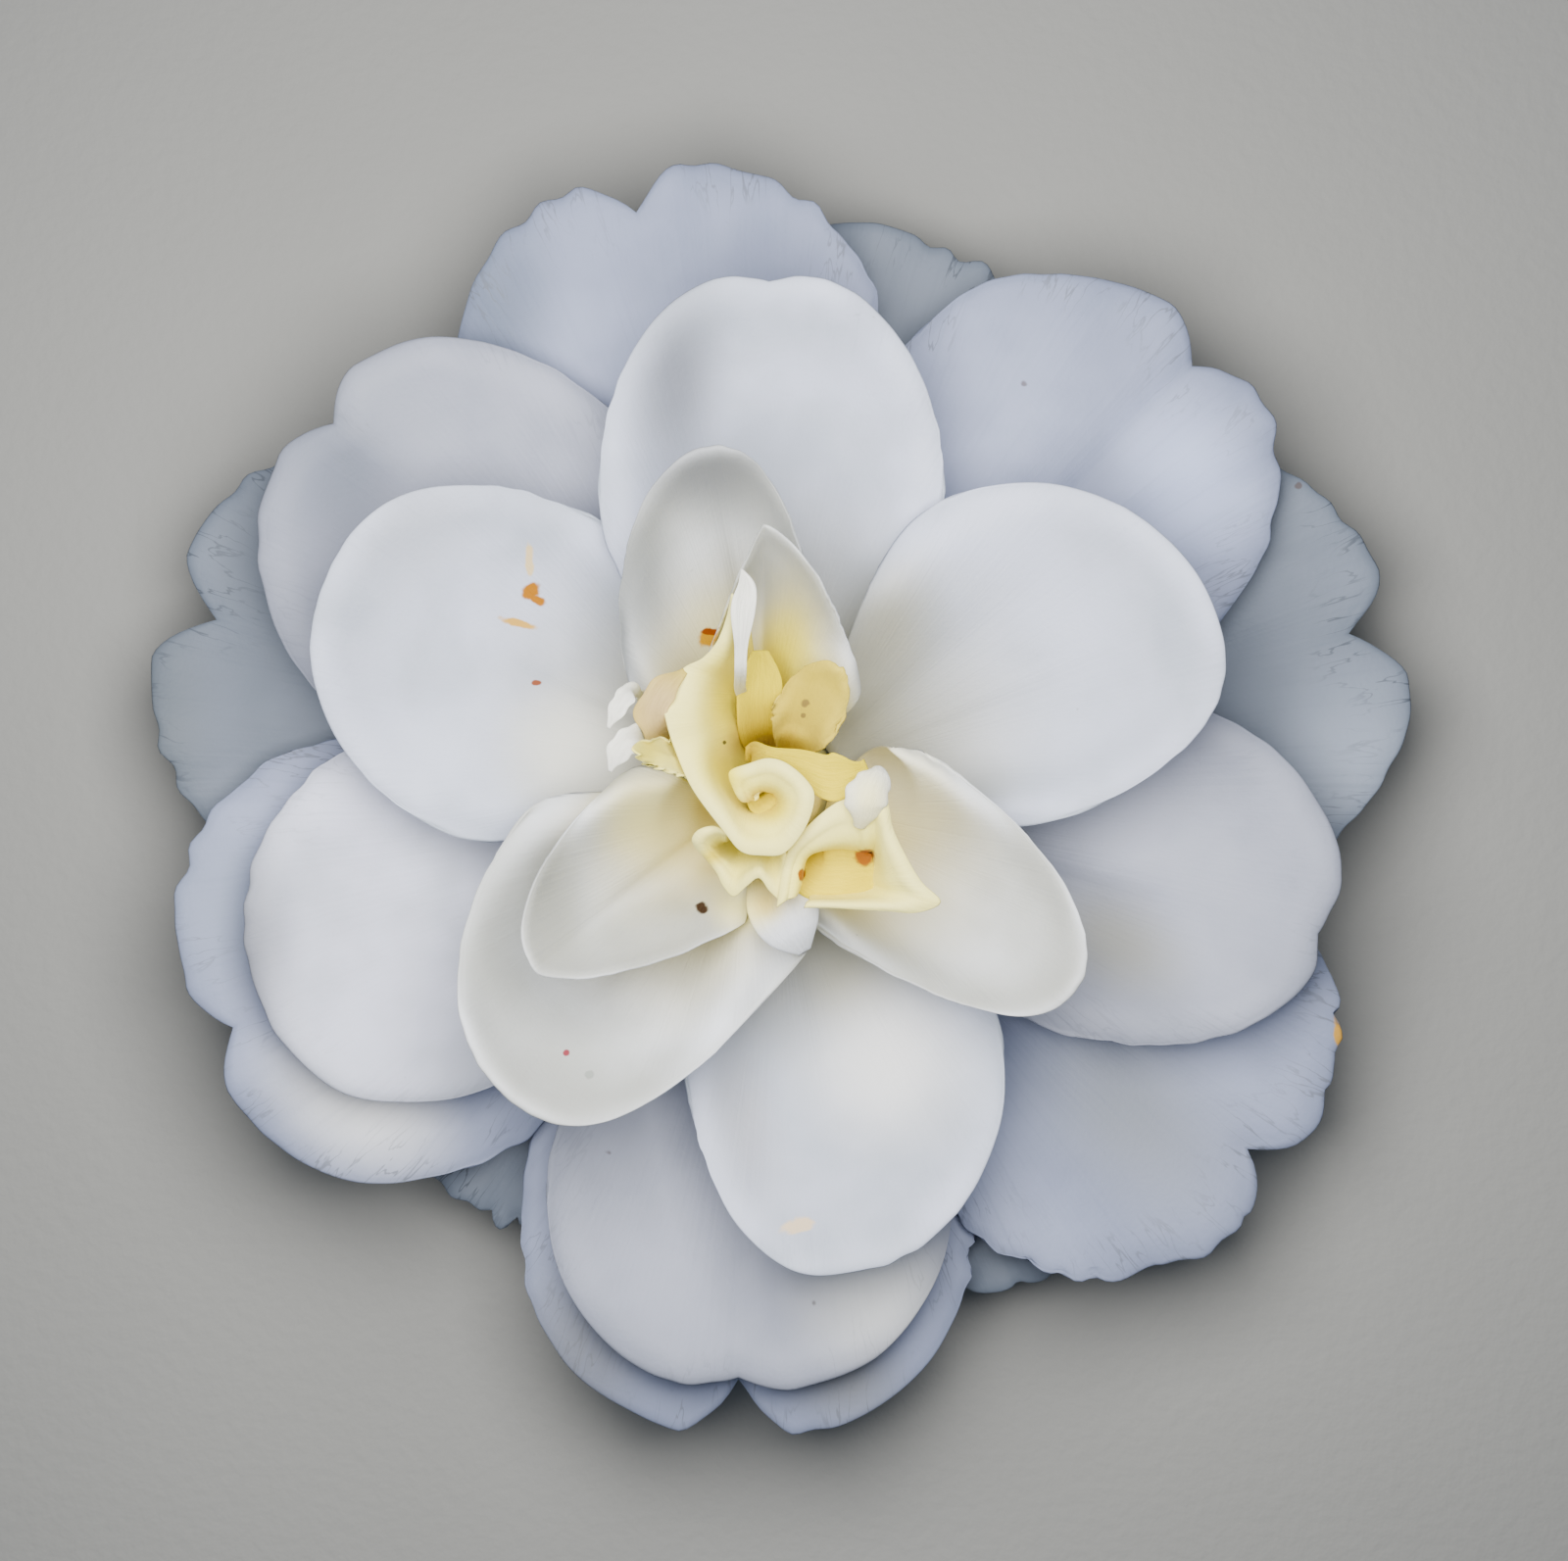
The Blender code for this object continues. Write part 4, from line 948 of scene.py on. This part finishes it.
def rolled_petaloid(name, node, margin, foot, heart, finish, columns=170):
    """A rolled sheet through a net of places: up from a small ring on the dome, a share of the
    way out to the foot, by the foot and a rounded shoulder near the margin to the margin."""
    margin, foot = np.array(margin, float), np.array(foot, float)
    root = foot.copy()
    root[:, :2] = heart + (foot[:, :2] - heart) * RING_SHARE
    reach = np.clip(np.hypot(*root[:, :2].T) / BOSS_SHOULDER[0], 0, 0.97)
    rise = BOSS_TOP - BOSS_SHOULDER[1]
    root[:, 2] = BOSS_SHOULDER[1] + rise * np.sqrt(1 - reach**2) + ROOT_GAP
    shoulder = margin + (foot - margin) * SHOULDER_SHARE
    shoulder[:, 2] = margin[:, 2] + CROWN - SHOULDER_DROP * (margin[:, 2] - foot[:, 2])
    net = np.stack([root, foot, shoulder, margin])
    u = np.linspace(0, 1, ROLLED_ROWS + 1)
    middle = np.einsum("ij,kl,jlm->ikm", cubic_weights(u, 4),
                       cubic_weights(np.linspace(0, 1, columns + 1), len(margin)), net)
    if np.cross(*np.gradient(middle, axis=(0, 1)))[..., 2].sum() < 0:
        middle = middle[:, ::-1]
    out = u[:, None] + np.zeros(middle.shape[:2])
    sheet = np.stack([np.linspace(0, 3, columns + 1)[None] + 0 * out, out / 2], -1)
    piece = add_sheet(name, middle, finish, out, sheet)
    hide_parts(node)


rolled_petaloid(
    "funnel_sheet", "petaloid_funnel", finish=petaloid_cream, heart=(1.9, -1.8),
    margin=[(0.6, -8.8, 31), (0.8, -7.2, 31), (1.1, -5.7, 31), (1.6, -4.3, 31.5), (3.0, -2.6, 32),
            (4.8, -1.1, 32.5), (6.3, -0.5, 33), (7.2, -0.2, 33.6), (8.2, 0.2, 34), (8.8, -1.0, 34),
            (9.2, -2.9, 33.7), (10.2, -5.0, 33.6), (11.3, -6.8, 33.5), (12.7, -8.3, 33.4),
            (11.0, -9.1, 33), (8.8, -9.0, 32.5), (6.5, -8.9, 32), (4.4, -8.8, 31.5),
            (2.6, -8.8, 31.2)],
    foot=[(2.2, -7.6, 29.2), (2.4, -6.6, 29.2), (2.6, -5.4, 29.2), (3.1, -4.7, 29.2),
          (4.2, -4.4, 29.4), (5.4, -4.3, 29.6), (6.5, -4.4, 29.8), (7.0, -4.5, 30),
          (7.6, -4.6, 29.2), (7.8, -4.9, 29.4), (7.9, -5.4, 29.4), (7.9, -6.0, 29.4),
          (7.8, -6.6, 29.4), (7.6, -7.1, 29), (7.0, -7.4, 28.6), (6.2, -7.6, 28.2),
          (5.2, -7.8, 28), (4.2, -7.9, 28), (3.0, -7.9, 28)])
rolled_petaloid(
    "curl_sheet", "petaloid_curl", finish=petaloid_cream, heart=(0.0, 0.0),
    margin=[(-2.7, 14.4, 35.2), (-3.1, 12.6, 34), (-3.8, 10.9, 33), (-4.9, 9.7, 32),
            (-6.3, 9.0, 31.2), (-7.5, 7.6, 31), (-7.8, 6.2, 31.4), (-7.5, 4.7, 32),
            (-6.9, 2.9, 33), (-5.6, 0.0, 33), (-3.3, -3.1, 33), (-2.0, -4.6, 33),
            (-0.4, -4.9, 33), (1.2, -4.7, 33), (2.7, -2.9, 33.5), (3.4, -0.7, 34),
            (2.9, 0.6, 34), (1.4, 1.9, 34), (0.0, 2.3, 33.5), (-1.5, 1.9, 33), (-2.9, 1.3, 33),
            (-2.6, 0.0, 32.5), (-2.0, -0.9, 32), (-1.3, -0.7, 31.2), (-0.6, 0.0, 30.2)],
    foot=[(-1.7, 13.6, 30), (-1.6, 11.8, 27), (-1.6, 10.2, 25), (-1.7, 8.9, 24), (-1.8, 7.8, 23),
          (-1.8, 6.8, 22.5), (-1.8, 6.0, 22), (-1.8, 5.2, 22), (-1.8, 4.4, 22.5), (-2.9, 2.0, 25),
          (-2.3, -0.7, 27.8), (-1.5, -1.7, 29), (-0.7, -1.9, 29.8), (0.1, -1.7, 30.4),
          (0.6, -1.3, 30.6), (0.8, -0.8, 30.6), (0.6, -0.3, 30.6), (0.3, -0.1, 30.6),
          (-0.1, 0.0, 30.6), (-0.5, 0.0, 30.4), (-0.8, -0.2, 30.2), (-1.0, -0.4, 30),
          (-1.0, -0.6, 30), (-0.9, -0.7, 30), (-0.7, -0.6, 30)])
rolled_petaloid(
    "hook_sheet", "petaloid_5", finish=petaloid_cream, heart=(-0.8, -2.0),
    margin=[(1.6, -4.9, 31), (1.5, -6.8, 30.8), (1.0, -8.2, 30.6), (0.1, -7.6, 30.8),
            (-0.7, -6.6, 31), (-1.6, -7.2, 30.6), (-2.6, -8.0, 30), (-3.4, -7.2, 30),
            (-3.9, -6.2, 29.9), (-4.7, -5.2, 30), (-5.4, -4.4, 30.4), (-5.7, -3.7, 31),
            (-5.2, -3.0, 31.4), (-4.1, -2.7, 31.4), (-3.1, -3.1, 31.2)],
    foot=[(0.5, -4.0, 27.5), (0.5, -4.4, 27.5), (0.2, -4.7, 27.5), (-0.2, -4.8, 27.5),
          (-0.7, -4.8, 27.8), (-1.3, -4.9, 27.8), (-2.0, -5.1, 27.8), (-2.5, -5.2, 27.8),
          (-2.9, -5.1, 27.8), (-3.3, -4.9, 27.8), (-3.6, -4.6, 27.8), (-3.8, -4.3, 27.8),
          (-3.7, -4.0, 27.8), (-3.4, -3.8, 27.8), (-3.0, -3.9, 27.8)], columns=120)
